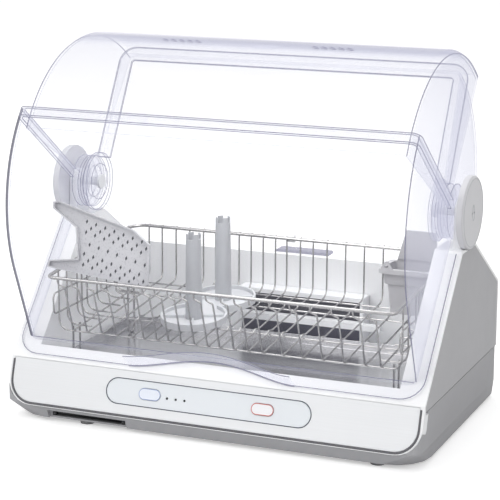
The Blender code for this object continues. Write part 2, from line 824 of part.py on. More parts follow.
# Front panel, control plate, buttons, lamps and board
plate_low = seat_gap - panel_thick
front_panel = plate("front_panel", [panel_outline(seat_gap),
                                    oblong(0, panel_middle + pill_rise, pill_half, pill_half_height)],
                    plate_low, 0, fascia_view, "silver")
controls = panel_middle + pill_rise
buttons = [("timer_button", timer_place), ("power_button", power_place)]
lamp_places = [(lamp_first + number * lamp_pitch, controls + lamp_drop) for number in range(lamp_count)]
holes = [oblong(place, controls, button_half + slide_gap, button_half_height + slide_gap)
         for _, place in buttons]
holes += [ring(u, v, lamp_radius + seat_gap, lamp_radius + seat_gap, 12) for u, v in lamp_places]
plate("control_plate", [oblong(0, controls, pill_half - pill_gap, pill_half_height - pill_gap)] + holes,
      plate_low, 0, fascia_view, "plate")
for name, place in buttons:
    button = plate(name, [oblong(place, controls, button_half, button_half_height)],
                   -button_depth, button_proud, fascia_view, "button")
    middle = fascia_view @ Vector((place, controls, 0))
    flange = oblong(place, controls, button_half + button_flange, button_half_height + button_flange)
    join(button, plate(f"{name}_flange", [flange], -button_depth + sink / 2,
                       -panel_thick - button_flange_depth / 4, fascia_view),
         cylinder(f"{name}_stem", middle - fascia_normal * button_stem_depth, fascia_normal,
                  button_stem_depth - button_depth + sink, button_stem, sides=12))
    set_origin(button, middle)
for number, (u, v) in enumerate(lamp_places, 1):
    back = board_depth - board_thick - seat_gap
    cylinder(f"lamp_{number}", fascia_view @ Vector((u, v, -back)), fascia_normal, back, lamp_radius,
             "lamp", sides=12)
plate("control_board", [rounded([(-board_half, controls - board_half_height, 0),
                                 (board_half, controls - board_half_height, 0),
                                 (board_half, controls + board_half_height, 0),
                                 (-board_half, controls + board_half_height, 0)])],
      -board_depth, board_thick - board_depth, fascia_view, "board")


# Hood covers: each a barrel shell with flat ends that hang on the hinge line
def barrel(name, outline, half, wall, inner, half_inner):
    """A cover: the outline as a block, less a smaller block."""
    cover = plate(name, [outline], -half, half, hinge_view, "clear")
    cut(cover, plate(f"{name}_inside", [inner], -half_inner, half_inner, hinge_view))
    return cover


def hub_pair(cover, near, far, radius):
    """Thick round bosses at both ends of a cover, bored for the pins."""
    for side in (-1, 1):
        low, high = sorted((side * near, side * far))
        join(cover, plate(f"{cover.name}_hub_{side}", [ring(0, 0, radius, radius, 16)], low, high,
                          hinge_view))
    bore = pin_radius + slide_gap
    cut(cover, cylinder(f"{cover.name}_bore", (-far - overrun, 0, hinge_height), (1, 0, 0),
                        far + far + overrun + overrun, bore, sides=12))


def polar(radius, angle, centre=(0, 0)):
    """A point at an angle about the hinge line, counted from the front upwards."""
    return Vector((centre[0] - radius * math.cos(angle), centre[1] + radius * math.sin(angle)))


def on_ledge(along, above):
    """A point of the hinge view, given along and above the ledge's plane."""
    return (Vector((-ledge_front, ledge_height - hinge_height)) + ledge_rise * along
            + ledge_out * above)


def ledge_place(point):
    """How far along the ledge's plane a point lies, and how high above it."""
    offset = point - Vector((-ledge_front, ledge_height - hinge_height))
    return offset.dot(ledge_rise), offset.dot(ledge_out)


def skirt_foot(radius, above):
    """Where the front cover's straight skirt comes down to a height above the ledge."""
    start = polar(radius, skirt_angle, bow_centre)
    downwards = Vector((-math.sin(skirt_angle), -math.cos(skirt_angle)))
    height = ledge_place(start)[1] - above
    return start + downwards * (height / -downwards.dot(ledge_out))


bow_centre = Vector((-bow_forward, -bow_drop))
flange_low = seat_gap
foot_level = flange_low + sink
inner_bow = bow_radius - clear_wall
hub_plane = ledge_place(Vector((0, 0)))
hub_reach = math.sqrt(hub_radius ** 2 - (hub_plane[1] - foot_level) ** 2)
hub_meet = on_ledge(hub_plane[0] - hub_reach, foot_level)
hub_first = math.atan2(hub_meet.y, -hub_meet.x)
front_outline = (arc(bow_centre, bow_radius, rim_angle, skirt_angle, 10)
                 + [skirt_foot(bow_radius, foot_level), hub_meet]
                 + arc((0, 0), hub_radius, hub_first, rim_angle - 2 * math.pi, 10)[1:])
below = -overrun - overrun
past_hub = hub_radius + hub_radius
front_inner = (arc(bow_centre, inner_bow, rim_angle, skirt_angle, 10)
               + [skirt_foot(inner_bow, below)]
               + [polar(past_hub, math.radians(angle)) for angle in (-90, -180, -240)]
               + [polar(bow_radius + past_hub, rim_angle + math.radians(4))])
front_cover = barrel("front_cover", front_outline, front_half, clear_wall, front_inner,
                     front_half - clear_wall)
rim_step = rim_band / bow_radius
rim = (arc(bow_centre, bow_radius + rim_proud, rim_angle, rim_angle - rim_step, 1)
       + arc(bow_centre, bow_radius - sink, rim_angle - rim_step, rim_angle, 1))
join(front_cover, plate("front_rim", [rim], -front_half - arm_proud, front_half + arm_proud, hinge_view))
across_arm = polar(1, rim_angle + math.pi / 2)
arm = [polar(hub_radius - sink, rim_angle), polar(bow_radius, rim_angle),
       polar(bow_radius, rim_angle) - across_arm * arm_width,
       polar(hub_radius - sink, rim_angle) - across_arm * arm_width]
for side in (-1, 1):
    low, high = sorted((side * (front_half - sink), side * (front_half + arm_proud)))
    join(front_cover, plate(f"front_arm_{side}", [arm], low, high, hinge_view))

foot_along = ledge_place(skirt_foot(inner_bow, foot_level))[0] - sink
front_flange_reach = (tower_top - ledge_height) / math.sin(ledge_slope) - front_flange_stop
flange_inner = front_half - clear_wall + sink
flange_outline = rounded([(-front_flange_half, front_flange_low, front_flange_corner),
                          (front_flange_half, front_flange_low, front_flange_corner),
                          (front_flange_half, front_flange_reach, 0),
                          (flange_inner, front_flange_reach, 0), (flange_inner, foot_along, 0),
                          (-flange_inner, foot_along, 0), (-flange_inner, front_flange_reach, 0),
                          (-front_flange_half, front_flange_reach, 0)], 5)
join(front_cover, plate("front_flange", [flange_outline], flange_low,
                        flange_low + front_flange_thick, ledge_view))
hub_pair(front_cover, front_hub_inner, front_half, hub_radius)


# Finger lip: an arch in the foot of the front cover, with a lip that stands out over it
def arch_line(offset, steps=10):
    """The arch along the front flange: a low curve that dies out at both ends."""
    line = []
    for step in range(steps + 1):
        share = 2 * step / steps - 1
        line.append(Vector((share * lip_half, front_flange_low + offset
                            + lip_rise * (1 - share ** 2) ** 2)))
    return line


arch_cut = arch_line(0) + [Vector((lip_half, -overrun)), Vector((-lip_half, -overrun))]
cut(front_cover, plate("arch_cut", [arch_cut], -overrun, front_flange_thick + overrun, ledge_view))
lip = arch_line(lip_thick) + list(reversed(arch_line(-sink)))
join(front_cover, plate("finger_lip", [lip], foot_level, lip_reach, ledge_view))

# Upper cover, with slanted vents and a small tab at the middle of its top
upper_outline = (arc((0, 0), upper_radius, upper_back_angle, upper_front_angle, 14)
                 + arc((0, 0), hub_radius, upper_front_angle, upper_back_angle - 2 * math.pi, 10))
inner_upper = upper_radius - clear_wall
upper_inner = (arc((0, 0), inner_upper, upper_back_angle + math.radians(5),
                   upper_front_angle - math.radians(5), 14)
               + [polar(past_hub, math.radians(angle)) for angle in (-40, -90, -145)])
upper_cover = barrel("upper_cover", upper_outline, upper_half, clear_wall, upper_inner,
                     upper_half - clear_wall)
hub_pair(upper_cover, upper_hub_inner, upper_half, hub_radius)
vent_point = polar(upper_radius, vent_angle) + Vector((0, hinge_height))
vent_view = frame((0, vent_point.x, vent_point.y), (1, 0, 0),
                  (0, math.sin(vent_angle), math.cos(vent_angle)))
for side in (-1, 1):
    for number in range(vent_count):
        place = Matrix.Translation((side * (vent_start + number * vent_pitch), 0, 0))
        slit = vent_view @ place @ Matrix.Rotation(-vent_lean, 4, "Z")
        cut(upper_cover, plate(f"vent_{side}_{number + 1}",
                               [oblong(0, 0, vent_length / 2, vent_width / 2, 1)],
                               -clear_wall - overrun, overrun, slit))
join(upper_cover, plate("top_tab", [oblong(tab_place, 0, tab_half, tab_depth / 2, 3)],
                        -clear_wall - tab_proud, sink - clear_wall, vent_view))

# Rear cover, with a stiffening flange at its front edge and a grip at its foot
tail_centre = Vector((-tail_forward, tail_rise))
slope_down = Vector((math.cos(tower_slope), -math.sin(tower_slope)))
slope_up = Vector((-slope_down.y, slope_down.x))
slope_start = Vector((tower_back, tower_top - hinge_height)) + slope_up * rear_lift


def slope_crossing(radius):
    """Where an arc about the rear cover's centre comes down to the towers' rear slope."""
    offset = slope_start - tail_centre
    middle = offset.dot(slope_down)
    along = math.sqrt(middle ** 2 - offset.length_squared + radius ** 2) - middle
    return slope_start + slope_down * along


def tail_angle(point):
    """The angle of a point about the rear cover's centre."""
    offset = point - tail_centre
    angle = math.atan2(offset.y, -offset.x)
    return angle + 2 * math.pi if angle < 0 else angle


tail_foot = slope_crossing(tail_radius)
inner_tail = tail_radius - clear_wall
inner_foot = slope_crossing(inner_tail)
rear_outline = (arc(tail_centre, tail_radius, tail_angle(tail_foot), rear_angle, 12)
                + arc((0, 0), rear_hub_radius, rear_angle, rear_angle - 2 * math.pi
                      + math.radians(120), 10))
rear_inner = (arc(tail_centre, inner_tail, tail_angle(inner_foot) + math.radians(4),
                  rear_angle - math.radians(5), 12)
              + [polar(past_hub, math.radians(angle)) for angle in (60, -20, -100)])
rear_cover = barrel("rear_cover", rear_outline, rear_half, clear_wall, rear_inner,
                    rear_half - clear_wall)
hub_pair(rear_cover, rear_hub_inner, rear_hub_outer, rear_hub_radius)
flange_back = polar(1, rear_angle)
rear_flange_view = frame((0, 0, hinge_height), (1, 0, 0), (0, flange_back.x, flange_back.y))
side_inner = rear_half - clear_wall
top_inner = inner_tail - rear_flange_sink
rear_flange = rounded([(-rear_flange_half, rear_hub_radius, 0),
                       (-side_inner, rear_hub_radius, 0), (-side_inner, top_inner, 0),
                       (side_inner, top_inner, 0), (side_inner, rear_hub_radius, 0),
                       (rear_flange_half, rear_hub_radius, 0),
                       (rear_flange_half, rear_flange_radius, rear_flange_corner),
                       (-rear_flange_half, rear_flange_radius, rear_flange_corner)])
join(rear_cover, plate("rear_flange", [rear_flange], -rear_flange_thick, 0, rear_flange_view),
     box("rear_grip", (grip_place - grip_half, grip_front, hinge_height - grip_drop - grip_thick / 2),
         (grip_place + grip_half, grip_back, hinge_height - grip_drop + grip_thick / 2)))
for cover in (front_cover, upper_cover, rear_cover):
    set_origin(cover, (0, 0, hinge_height))

# Hinge pins and round caps
for side, word in ((-1, "left"), (1, "right")):
    pin = cylinder(f"hinge_pin_{word}", (side * (pin_head_face - sink), 0, hinge_height),
                   (side, 0, 0), bracket_outer - pin_head_face + sink, pin_radius, "steel", sides=16)
    join(pin, cylinder(f"pin_head_{word}", (side * (pin_head_face - pin_head), 0, hinge_height),
                       (side, 0, 0), pin_head, pin_head_radius, sides=16))
    cap = cylinder(f"hinge_cap_{word}", (side * cap_inner, 0, hinge_height), (side, 0, 0),
                   cap_outer - cap_inner - cap_edge, cap_radius, "grey", sides=24)
    join(cap, cylinder(f"cap_face_{word}",
                       (side * (cap_outer - cap_edge - sink), 0, hinge_height), (side, 0, 0),
                       cap_edge + sink, cap_radius, end_radius=cap_radius - cap_edge, sides=24))
    low, high = sorted((side * (cap_outer - cap_slot_depth), side * (cap_outer + overrun)))
    cut(cap, plate(f"cap_slot_{word}", [oblong(0, 0, cap_slot_half, cap_slot_width / 2, 1)],
                   low, high, hinge_view))


# Wire basket in five flat pieces
def grille(name, routes, bars, radius):
    """Parallel wires welded to the bars that cross them."""
    piece = wires(name, routes, radius)
    for number, (route, bar_radius) in enumerate(bars, 1):
        join(piece, wires(f"{name}_bar_{number}", [route], bar_radius, sides=int(bar_radius > radius)))
    return piece


wire_places = [share * basket_half for share in wire_shares]
front_foot = Vector((0, -basket_foot_front, basket_floor_front))
front_rim = Vector((0, -basket_front, basket_front_height))
back_foot = Vector((0, basket_back, basket_floor_back))
back_rim = Vector((0, basket_back, basket_back_height))
rise = (front_rim - front_foot).normalized()
drain_floor = chamber_floor + seat_gap + drain_wall
aside = Vector((-jog_aside, 0, 0))
jog = Vector((0, jog_step, 0))
ends = basket_half - rim_wire_radius - seat_gap
front_routes = []
for x in wire_places:
    here = Vector((x, 0, 0))
    stub = here + front_rim - rise * jog_drop
    front_routes.append([here + front_rim + aside, stub + aside, stub - rise * jog_step + jog,
                         here + front_foot + rise * (wire_radius + seat_gap)])
low_bar = front_foot + rise * (rim_wire_radius + wire_radius + seat_gap) * 2
grille("basket_front", front_routes,
       [([front_rim + Vector((-ends, 0, 0)), front_rim + Vector((ends, 0, 0))], rim_wire_radius),
        ([low_bar + Vector((-ends, 0, 0)), low_bar + Vector((ends, 0, 0))], wire_radius)], wire_radius)
back_routes = [[back_rim + Vector((x, 0, 0)),
                back_foot + Vector((x, 0, wire_radius + seat_gap))]
               for x in wire_places]
back_bar = back_foot + Vector((0, 0, (rim_wire_radius + wire_radius + seat_gap) * 2))
grille("basket_back", back_routes,
       [([back_rim + Vector((-ends, 0, 0)), back_rim + Vector((ends, 0, 0))], rim_wire_radius),
        ([back_bar + Vector((-ends, 0, 0)), back_bar + Vector((ends, 0, 0))], wire_radius)], wire_radius)
floor_routes = [[front_foot + Vector((x, 0, 0)), back_foot + Vector((x, 0, 0))] for x in wire_places]
floor_slope = (back_foot - front_foot).normalized()
under = Vector((0, floor_slope.z, -floor_slope.y)) * (wire_radius + wire_radius - sink / 2)
floor_bars = []
for y in (-cross_wire_front, cross_wire_back):
    at = front_foot + floor_slope * ((y + basket_foot_front) / floor_slope.y) + under
    floor_bars.append(([at + Vector((-ends, 0, 0)), at + Vector((ends, 0, 0))], wire_radius))
grille("basket_floor", floor_routes, floor_bars, wire_radius)
for side, word in ((-1, "left"), (1, "right")):
    at = Vector((side * basket_half, 0, 0))
    side_routes = []
    for number in range(side_wire_count):
        share = (number + 1) / (side_wire_count + 1)
        side_routes.append([at + front_rim.lerp(back_rim, share),
                            at + front_foot.lerp(back_foot, share)])
    edges = [([at + front_rim, at + back_rim], rim_wire_radius),
             ([at + front_foot, at + back_foot], wire_radius)]
    for y in (-leg_front, leg_back):
        top = at + front_foot + floor_slope * ((y + basket_foot_front) / floor_slope.y)
        side_routes.append([top, Vector((top.x, top.y, drain_floor + seat_gap))])
    out = Vector((side * (basket_half + wire_radius), 0, 0))
    edges.append(([out + Vector((0, y, z)) for y, z in (
        (loop_back, loop_high), (-loop_front, loop_high), (-loop_front, loop_low),
        (loop_back, loop_low), (loop_back, loop_high - wire_radius - wire_radius))], wire_radius))
    grille(f"basket_{word}", side_routes, edges, wire_radius)
box("basket_clip", (-clip_half, basket_back + rim_wire_radius + seat_gap,
                    basket_back_height - clip_height / 2),
    (clip_half, basket_back + rim_wire_radius + seat_gap + clip_reach,
     basket_back_height + clip_height / 2), "white", rounding=clip_round)

# Drain tray on the chamber floor
drain_low = chamber_floor + seat_gap
drain_front = -chamber_front + drain_margin
drain_back = outlet_front - drain_margin
drain_half = chamber_half - drain_margin
drain_tray = plate("drain_tray", [rounded([(-drain_half, drain_front, drain_corner),
                                           (drain_half, drain_front, drain_corner),
                                           (drain_half, drain_back, drain_corner),
                                           (-drain_half, drain_back, drain_corner)])],
                   drain_low, drain_low + drain_rim, plan_view, "steel")
inner = drain_corner - drain_wall
cut(drain_tray, plate("drain_inside", [rounded([
    (drain_wall - drain_half, drain_front + drain_wall, inner),
    (drain_half - drain_wall, drain_front + drain_wall, inner),
    (drain_half - drain_wall, drain_back - drain_wall, inner),
    (drain_wall - drain_half, drain_back - drain_wall, inner)])],
    drain_low + drain_wall, drain_low + drain_rim + overrun, plan_view))

# Cup stand: two round dishes on the basket's floor, each with a hollow tube that holds a cup
def two_dishes(radius):
    """The outline round two circles that overlap, one behind the other."""
    meet = math.asin(tube_half_spacing / radius)
    outline = []
    for v, start in ((-tube_half_spacing, math.pi - meet), (tube_half_spacing, -meet)):
        for step in range(16):
            turn = start + (math.pi + meet + meet) * step / 16
            outline.append(Vector((radius * math.cos(turn), v + radius * math.sin(turn))))
    return outline


stand_level = front_foot + floor_slope * ((basket_foot_front - stand_front) / floor_slope.y)
stand_slope = (frame(stand_level + Vector((stand_place, 0, wire_radius + seat_gap)), (1, 0, 0),
                     floor_slope) @ Matrix.Rotation(-stand_turn, 4, "Z"))
cup_stand = plate("cup_stand", [two_dishes(stand_radius)], 0, stand_thick, stand_slope)
cut(cup_stand, plate("stand_dishes", [two_dishes(stand_radius - stand_rim)],
                     stand_thick - stand_dish, stand_thick + overrun, stand_slope))
for word, v in (("front", -tube_half_spacing), ("rear", tube_half_spacing)):
    seat = stand_slope @ Vector((0, v, stand_thick - stand_dish))
    socket_low = seat - Vector((0, 0, stand_thick - stand_dish - sink - sink))
    cut(cup_stand, cylinder(f"socket_{word}", socket_low - Vector((0, 0, overrun)), (0, 0, 1),
                            stand_thick + overrun, tube_radius + seat_gap, sides=20))
    tube = cylinder(f"cup_tube_{word}", socket_low, (0, 0, 1), tube_height, tube_radius, "tube",
                    end_radius=tube_radius - tube_taper, sides=20)
    cut(tube, cylinder(f"tube_bore_{word}", socket_low - Vector((0, 0, overrun)), (0, 0, 1),
                       tube_height + overrun + overrun, tube_radius - tube_taper - tube_wall, sides=20))
    for turn in (0, math.pi / 2):
        notch = box(f"crown_notch_{word}_{round(turn)}",
                    (-tube_radius - overrun, -crown_notch / 2, tube_height - crown_depth),
                    (tube_radius + overrun, crown_notch / 2, tube_height + overrun))
        notch.location = socket_low
        notch.rotation_euler = (0, 0, turn)
        cut(tube, notch)

# Cutlery holder, hung on the basket's right rim
def cutlery_outline(height, margin):
    """The cutlery box in plan: it narrows a little towards its bottom."""
    share = (cutlery_rim - height) / (cutlery_rim - cutlery_low)
    grow = margin + cutlery_taper * share
    return rounded([(cutlery_left + grow, cutlery_front + grow, cutlery_corner),
                    (cutlery_right - grow, cutlery_front + grow, cutlery_corner),
                    (cutlery_right - grow, cutlery_back - margin, cutlery_corner),
                    (cutlery_left + grow, cutlery_back - margin, cutlery_corner)], 3)


def cutlery_levels(low, shelf, high, margin):
    """Plans of the box from its bottom up, with a step where it widens."""
    return [(low, cutlery_outline(low, margin + cutlery_step)),
            (shelf - cutlery_wall, cutlery_outline(shelf, margin + cutlery_step)),
            (shelf, cutlery_outline(shelf, margin)), (high, cutlery_outline(high, margin))]


cutlery_holder = loft("cutlery_holder", cutlery_levels(cutlery_low, cutlery_shelf, cutlery_rim, 0),
                      "tube")
lip_outline = [Vector((u, v)) for u, v in cutlery_outline(cutlery_rim, -cutlery_lip)]
upright = frame((0, cutlery_back, 0), (1, 0, 0), (0, 0, 1))
back_left = cutlery_left + cutlery_lip
back_right = cutlery_right - cutlery_lip
back_plate = [Vector((back_left, cutlery_rim - cutlery_lip)), Vector((back_right, cutlery_rim - cutlery_lip)),
              Vector((back_right, cutlery_top)), Vector((back_left + cutlery_slant, cutlery_top))]
ear_left = cutlery_left - cutlery_lip + ear_thick
ear = rounded([(ear_left, cutlery_rim - sink, 0), (ear_left + ear_width, cutlery_rim - sink, 0),
               (ear_left + ear_width / 2, cutlery_rim + ear_height, ear_thick)], 3)
ear_hole = ring(ear_left + ear_width / 2, cutlery_rim + ear_bore + sink, ear_bore, ear_bore, 10)
ear_view = frame((0, cutlery_front - cutlery_lip + sink, 0), (1, 0, 0), (0, 0, 1))
join(cutlery_holder,
     plate("cutlery_lip", [lip_outline], cutlery_rim - cutlery_lip_thick, cutlery_rim, plan_view),
     plate("cutlery_back_plate", [back_plate], sink / 2, cutlery_wall + cutlery_wall, upright))
cut(cutlery_holder, loft("cutlery_inside", cutlery_levels(
    cutlery_low + cutlery_wall, cutlery_shelf + cutlery_wall, cutlery_rim + overrun, cutlery_wall),
    "tube"))
join(cutlery_holder, plate("cutlery_ear", [ear, ear_hole], -ear_thick, 0, ear_view))
for number in range(cutlery_drains):
    x = cutlery_left + (number + 1) * (cutlery_right - cutlery_left) / (cutlery_drains + 1)
    cut(cutlery_holder, box(f"cutlery_drain_{number + 1}",
                            (x - cutlery_drain / 2, cutlery_front + cutlery_corner + cutlery_taper,
                             cutlery_low - overrun),
                            (x + cutlery_drain / 2, cutlery_back - cutlery_corner,
                             cutlery_low + cutlery_wall + overrun)))

# Warm-air outlet on the chamber's back wall
outlet = box("air_outlet", (outlet_left, outlet_front, chamber_floor + seat_gap),
             (outlet_right, chamber_back - seat_gap, outlet_high))
cut(outlet, box("outlet_inside", (outlet_left + outlet_wall, outlet_front + outlet_wall,
                                  chamber_floor - overrun),
                (outlet_right - outlet_wall, chamber_back - outlet_wall, outlet_high - outlet_wall)))
opening_lows = (outlet_low, outlet_low + outlet_opening + outlet_bar)
for number, low in enumerate(opening_lows, 1):
    cut(outlet, box(f"outlet_opening_{number}",
                    (outlet_left + outlet_wall + outlet_wall, outlet_front - overrun, low),
                    (outlet_right - outlet_wall - outlet_wall, outlet_front + outlet_wall + overrun,
                     low + outlet_opening)))
bar_low = outlet_low + outlet_opening + (outlet_bar - ledge_bar_thick) / 2
join(outlet, box("outlet_shelf", (outlet_left + outlet_wall, outlet_front - ledge_bar_reach, bar_low),
                 (ledge_bar_right, outlet_front + sink, bar_low + ledge_bar_thick)))

# Fan housing under the chamber floor, its duct up to the outlet, the heater, the fan and its motor
fan_reach = fan_radius + fan_gap
fan_back = duct_back - housing_wall - fan_reach
housing_high = tub_bottom - seat_gap
duct_low = Vector((duct_left - housing_wall, duct_front, housing_low))
duct_high = Vector((fan_place, duct_back, housing_high))
wall = Vector((housing_wall, housing_wall, housing_wall))
fan_housing = cylinder("fan_housing", (fan_place, fan_back, housing_low), (0, 0, 1),
                       housing_high - housing_low, fan_reach + housing_wall, "dark_grey", sides=32)
join(fan_housing, box("duct", duct_low, duct_high))
cut(fan_housing,
    cylinder("fan_room", (fan_place, fan_back, housing_low + housing_wall), (0, 0, 1),
             housing_high - housing_low - housing_wall - housing_wall, fan_reach, sides=32),
    box("duct_room", duct_low + wall, duct_high - wall),
    box("duct_mouth", (duct_left, outlet_front + outlet_wall + outlet_wall,
                       housing_high - housing_wall - overrun),
        (duct_right, duct_back - outlet_wall, housing_high + overrun)))
for number in range(inlet_slots):
    turn = 2 * math.pi * number / inlet_slots
    reach = math.pi / inlet_slots - inlet_rib / inlet_radius
    outer = [Vector((inlet_radius * math.cos(turn + step * reach / 3),
                     inlet_radius * math.sin(turn + step * reach / 3))) for step in range(-3, 4)]
    slot = outer + [point * inlet_inner / inlet_radius for point in reversed(outer)]
    cut(fan_housing, plate(f"inlet_{number + 1}", [slot], housing_low - overrun,
                           housing_low + housing_wall + overrun,
                           Matrix.Translation((fan_place, fan_back, 0))))
motor_low = housing_low + housing_wall + seat_gap
fan_motor = cylinder("fan_motor", (fan_place, fan_back, motor_low), (0, 0, 1),
                     motor_high - motor_low, motor_radius, "steel", sides=28)
join(fan_motor, cylinder("fan_shaft", (fan_place, fan_back, motor_high - sink), (0, 0, 1),
                         fan_high - motor_high + sink, shaft_radius, sides=12))
fan_wheel = cylinder("fan_wheel", (fan_place, fan_back, fan_high - fan_disc), (0, 0, 1), fan_disc,
                     fan_radius, "black", sides=24)
join(fan_wheel, cylinder("fan_boss", (fan_place, fan_back, fan_high - fan_disc - fan_disc),
                         (0, 0, 1), fan_disc + sink, fan_boss, sides=20))
fan_ring = plate("fan_ring", [ring(0, 0, fan_radius, fan_radius, 20),
                              ring(0, 0, fan_radius - fan_blade_depth, fan_radius - fan_blade_depth,
                                   20)],
                 fan_low, fan_low + fan_blade, Matrix.Translation((fan_place, fan_back, 0)))
for number in range(fan_blades):
    turn = Matrix.Rotation(2 * math.pi * (number + 1 / 2) / fan_blades, 4, "Z")
    place = Matrix.Translation((fan_place, fan_back, 0)) @ turn
    blade = [Vector((fan_radius - fan_blade_depth + sink, -fan_blade / 2)),
             Vector((fan_radius - sink, -fan_blade / 2)),
             Vector((fan_radius - sink, fan_blade / 2)),
             Vector((fan_radius - fan_blade_depth + sink, fan_blade / 2))]
    join(fan_wheel, plate(f"fan_blade_{number + 1}", [blade], fan_low + sink / 2,
                          fan_high - fan_disc + sink, place))
join(fan_wheel, fan_ring)
cut(fan_wheel, cylinder("fan_wheel_bore", (fan_place, fan_back, fan_low), (0, 0, 1),
                        fan_high, fan_bore, sides=16))
set_origin(fan_wheel, (fan_place, fan_back, fan_high))

heater_middle = (duct_left + duct_right) / 2
heater_seat = housing_wall + seat_gap
heater = box("heater", (heater_middle - heater_half, duct_front + heater_seat, heater_low),
             (heater_middle + heater_half, duct_back - heater_seat, heater_high), "coil")
heater_pitch = (heater_half + heater_half - heater_bar) / heater_bars
for number in range(heater_bars):
    x = heater_middle - heater_half + heater_bar + number * heater_pitch
    cut(heater, box(f"heater_slot_{number + 1}",
                    (x, duct_front + heater_seat + heater_bar, heater_low - overrun),
                    (x + heater_pitch - heater_bar, duct_back - heater_seat - heater_bar,
                     heater_high + overrun)))

# Side tray: a pierced plate with a low rim, hung on the basket's front left corner
tray_place = (Matrix.Translation((-basket_half - tray_beyond, -tray_foot, tray_foot_height))
              @ Matrix.Rotation(tray_droop, 4, "Y") @ Matrix.Rotation(math.pi / 2 - tray_lean, 4, "X"))
tray_line = [Vector((u_share * tray_length, v_share * tray_height)) for u_share, v_share in tray_shares]
side_tray = plate("side_tray", [tray_line], 0, tray_depth, tray_place, "speckle")
cut(side_tray, plate("tray_inside", [inset(tray_line, tray_wall)], tray_wall, tray_depth + overrun,
                     tray_place))
slots = []
for number, row in enumerate(slot_rows):
    for column in range(slot_columns):
        along = column + (number % 2) / 2
        u = slot_first + along * slot_pitch + row * slot_aside
        v = slot_high - along * slot_fall - row * slot_row
        slots.append([Vector((u - slot_half_width, v)), Vector((u, v - slot_half)),
                      Vector((u + slot_half_width, v)), Vector((u, v + slot_half))])
cut(side_tray, plate("tray_slots", slots, -overrun, tray_wall + overrun, tray_place))
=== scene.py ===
# %% [markdown]
# An electric dish dryer with clear covers
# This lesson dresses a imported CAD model. The frame that is loaded first says where each body and
# each piece lies, in metres, so every new piece is made where the real one sits. The covers, the
# wire basket and the mouldings are made again with smooth curves, and each gets its own finish.
# %% Load the frame
import json
import math

import bmesh
import bpy
from mathutils import Matrix, Vector

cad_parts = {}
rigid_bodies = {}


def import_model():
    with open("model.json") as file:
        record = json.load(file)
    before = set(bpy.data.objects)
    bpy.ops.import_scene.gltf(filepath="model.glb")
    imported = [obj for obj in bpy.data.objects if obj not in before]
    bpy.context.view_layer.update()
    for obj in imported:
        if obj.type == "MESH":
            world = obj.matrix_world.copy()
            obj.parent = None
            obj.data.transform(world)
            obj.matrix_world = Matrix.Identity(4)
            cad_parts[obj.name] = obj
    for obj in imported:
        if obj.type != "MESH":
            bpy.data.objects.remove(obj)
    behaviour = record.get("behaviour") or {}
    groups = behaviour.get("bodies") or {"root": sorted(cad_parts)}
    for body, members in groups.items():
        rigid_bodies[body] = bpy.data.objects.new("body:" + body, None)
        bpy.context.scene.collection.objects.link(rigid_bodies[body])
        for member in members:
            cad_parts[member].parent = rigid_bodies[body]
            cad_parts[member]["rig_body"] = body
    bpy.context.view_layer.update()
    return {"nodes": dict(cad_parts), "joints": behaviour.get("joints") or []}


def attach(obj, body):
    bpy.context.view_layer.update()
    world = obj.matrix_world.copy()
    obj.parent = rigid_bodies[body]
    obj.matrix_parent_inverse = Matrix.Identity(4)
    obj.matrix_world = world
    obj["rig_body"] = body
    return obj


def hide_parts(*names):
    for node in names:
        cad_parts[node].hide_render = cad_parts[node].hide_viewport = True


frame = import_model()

nodes = frame["nodes"]
scene = bpy.context.scene
hinge = Vector(next(j for j in frame["joints"] if j["name"] == "front_cover_hinge")["pos_m"])
y0 = hinge.y    # places along Y are counted from the hinge line, with the front at minus
print(len(nodes), "CAD nodes; the hinge line is at", tuple(round(v, 4) for v in hinge))

# %% [markdown]
# Shader maths
# A material is a small graph of nodes. Wiring it by hand hides the idea, so a wrapped socket
# behaves like a number: adding or multiplying two of them adds a Math node between them.
# %% A socket that behaves like a number
class Value:
    """The output of a node, which can stand in a sum."""

    def __init__(self, graph, socket):
        self.graph = graph
        self.socket = socket

    def __add__(self, other):
        return self.graph.maths("ADD", self, other)

    def __sub__(self, other):
        return self.graph.maths("SUBTRACT", self, other)

    def __rsub__(self, other):
        return self.graph.maths("SUBTRACT", other, self)

    def __mul__(self, other):
        return self.graph.maths("MULTIPLY", self, other)

    def __pow__(self, other):
        return self.graph.maths("POWER", self, other)

    def __rpow__(self, other):
        return self.graph.maths("POWER", other, self)

    __radd__ = __add__
    __rmul__ = __mul__


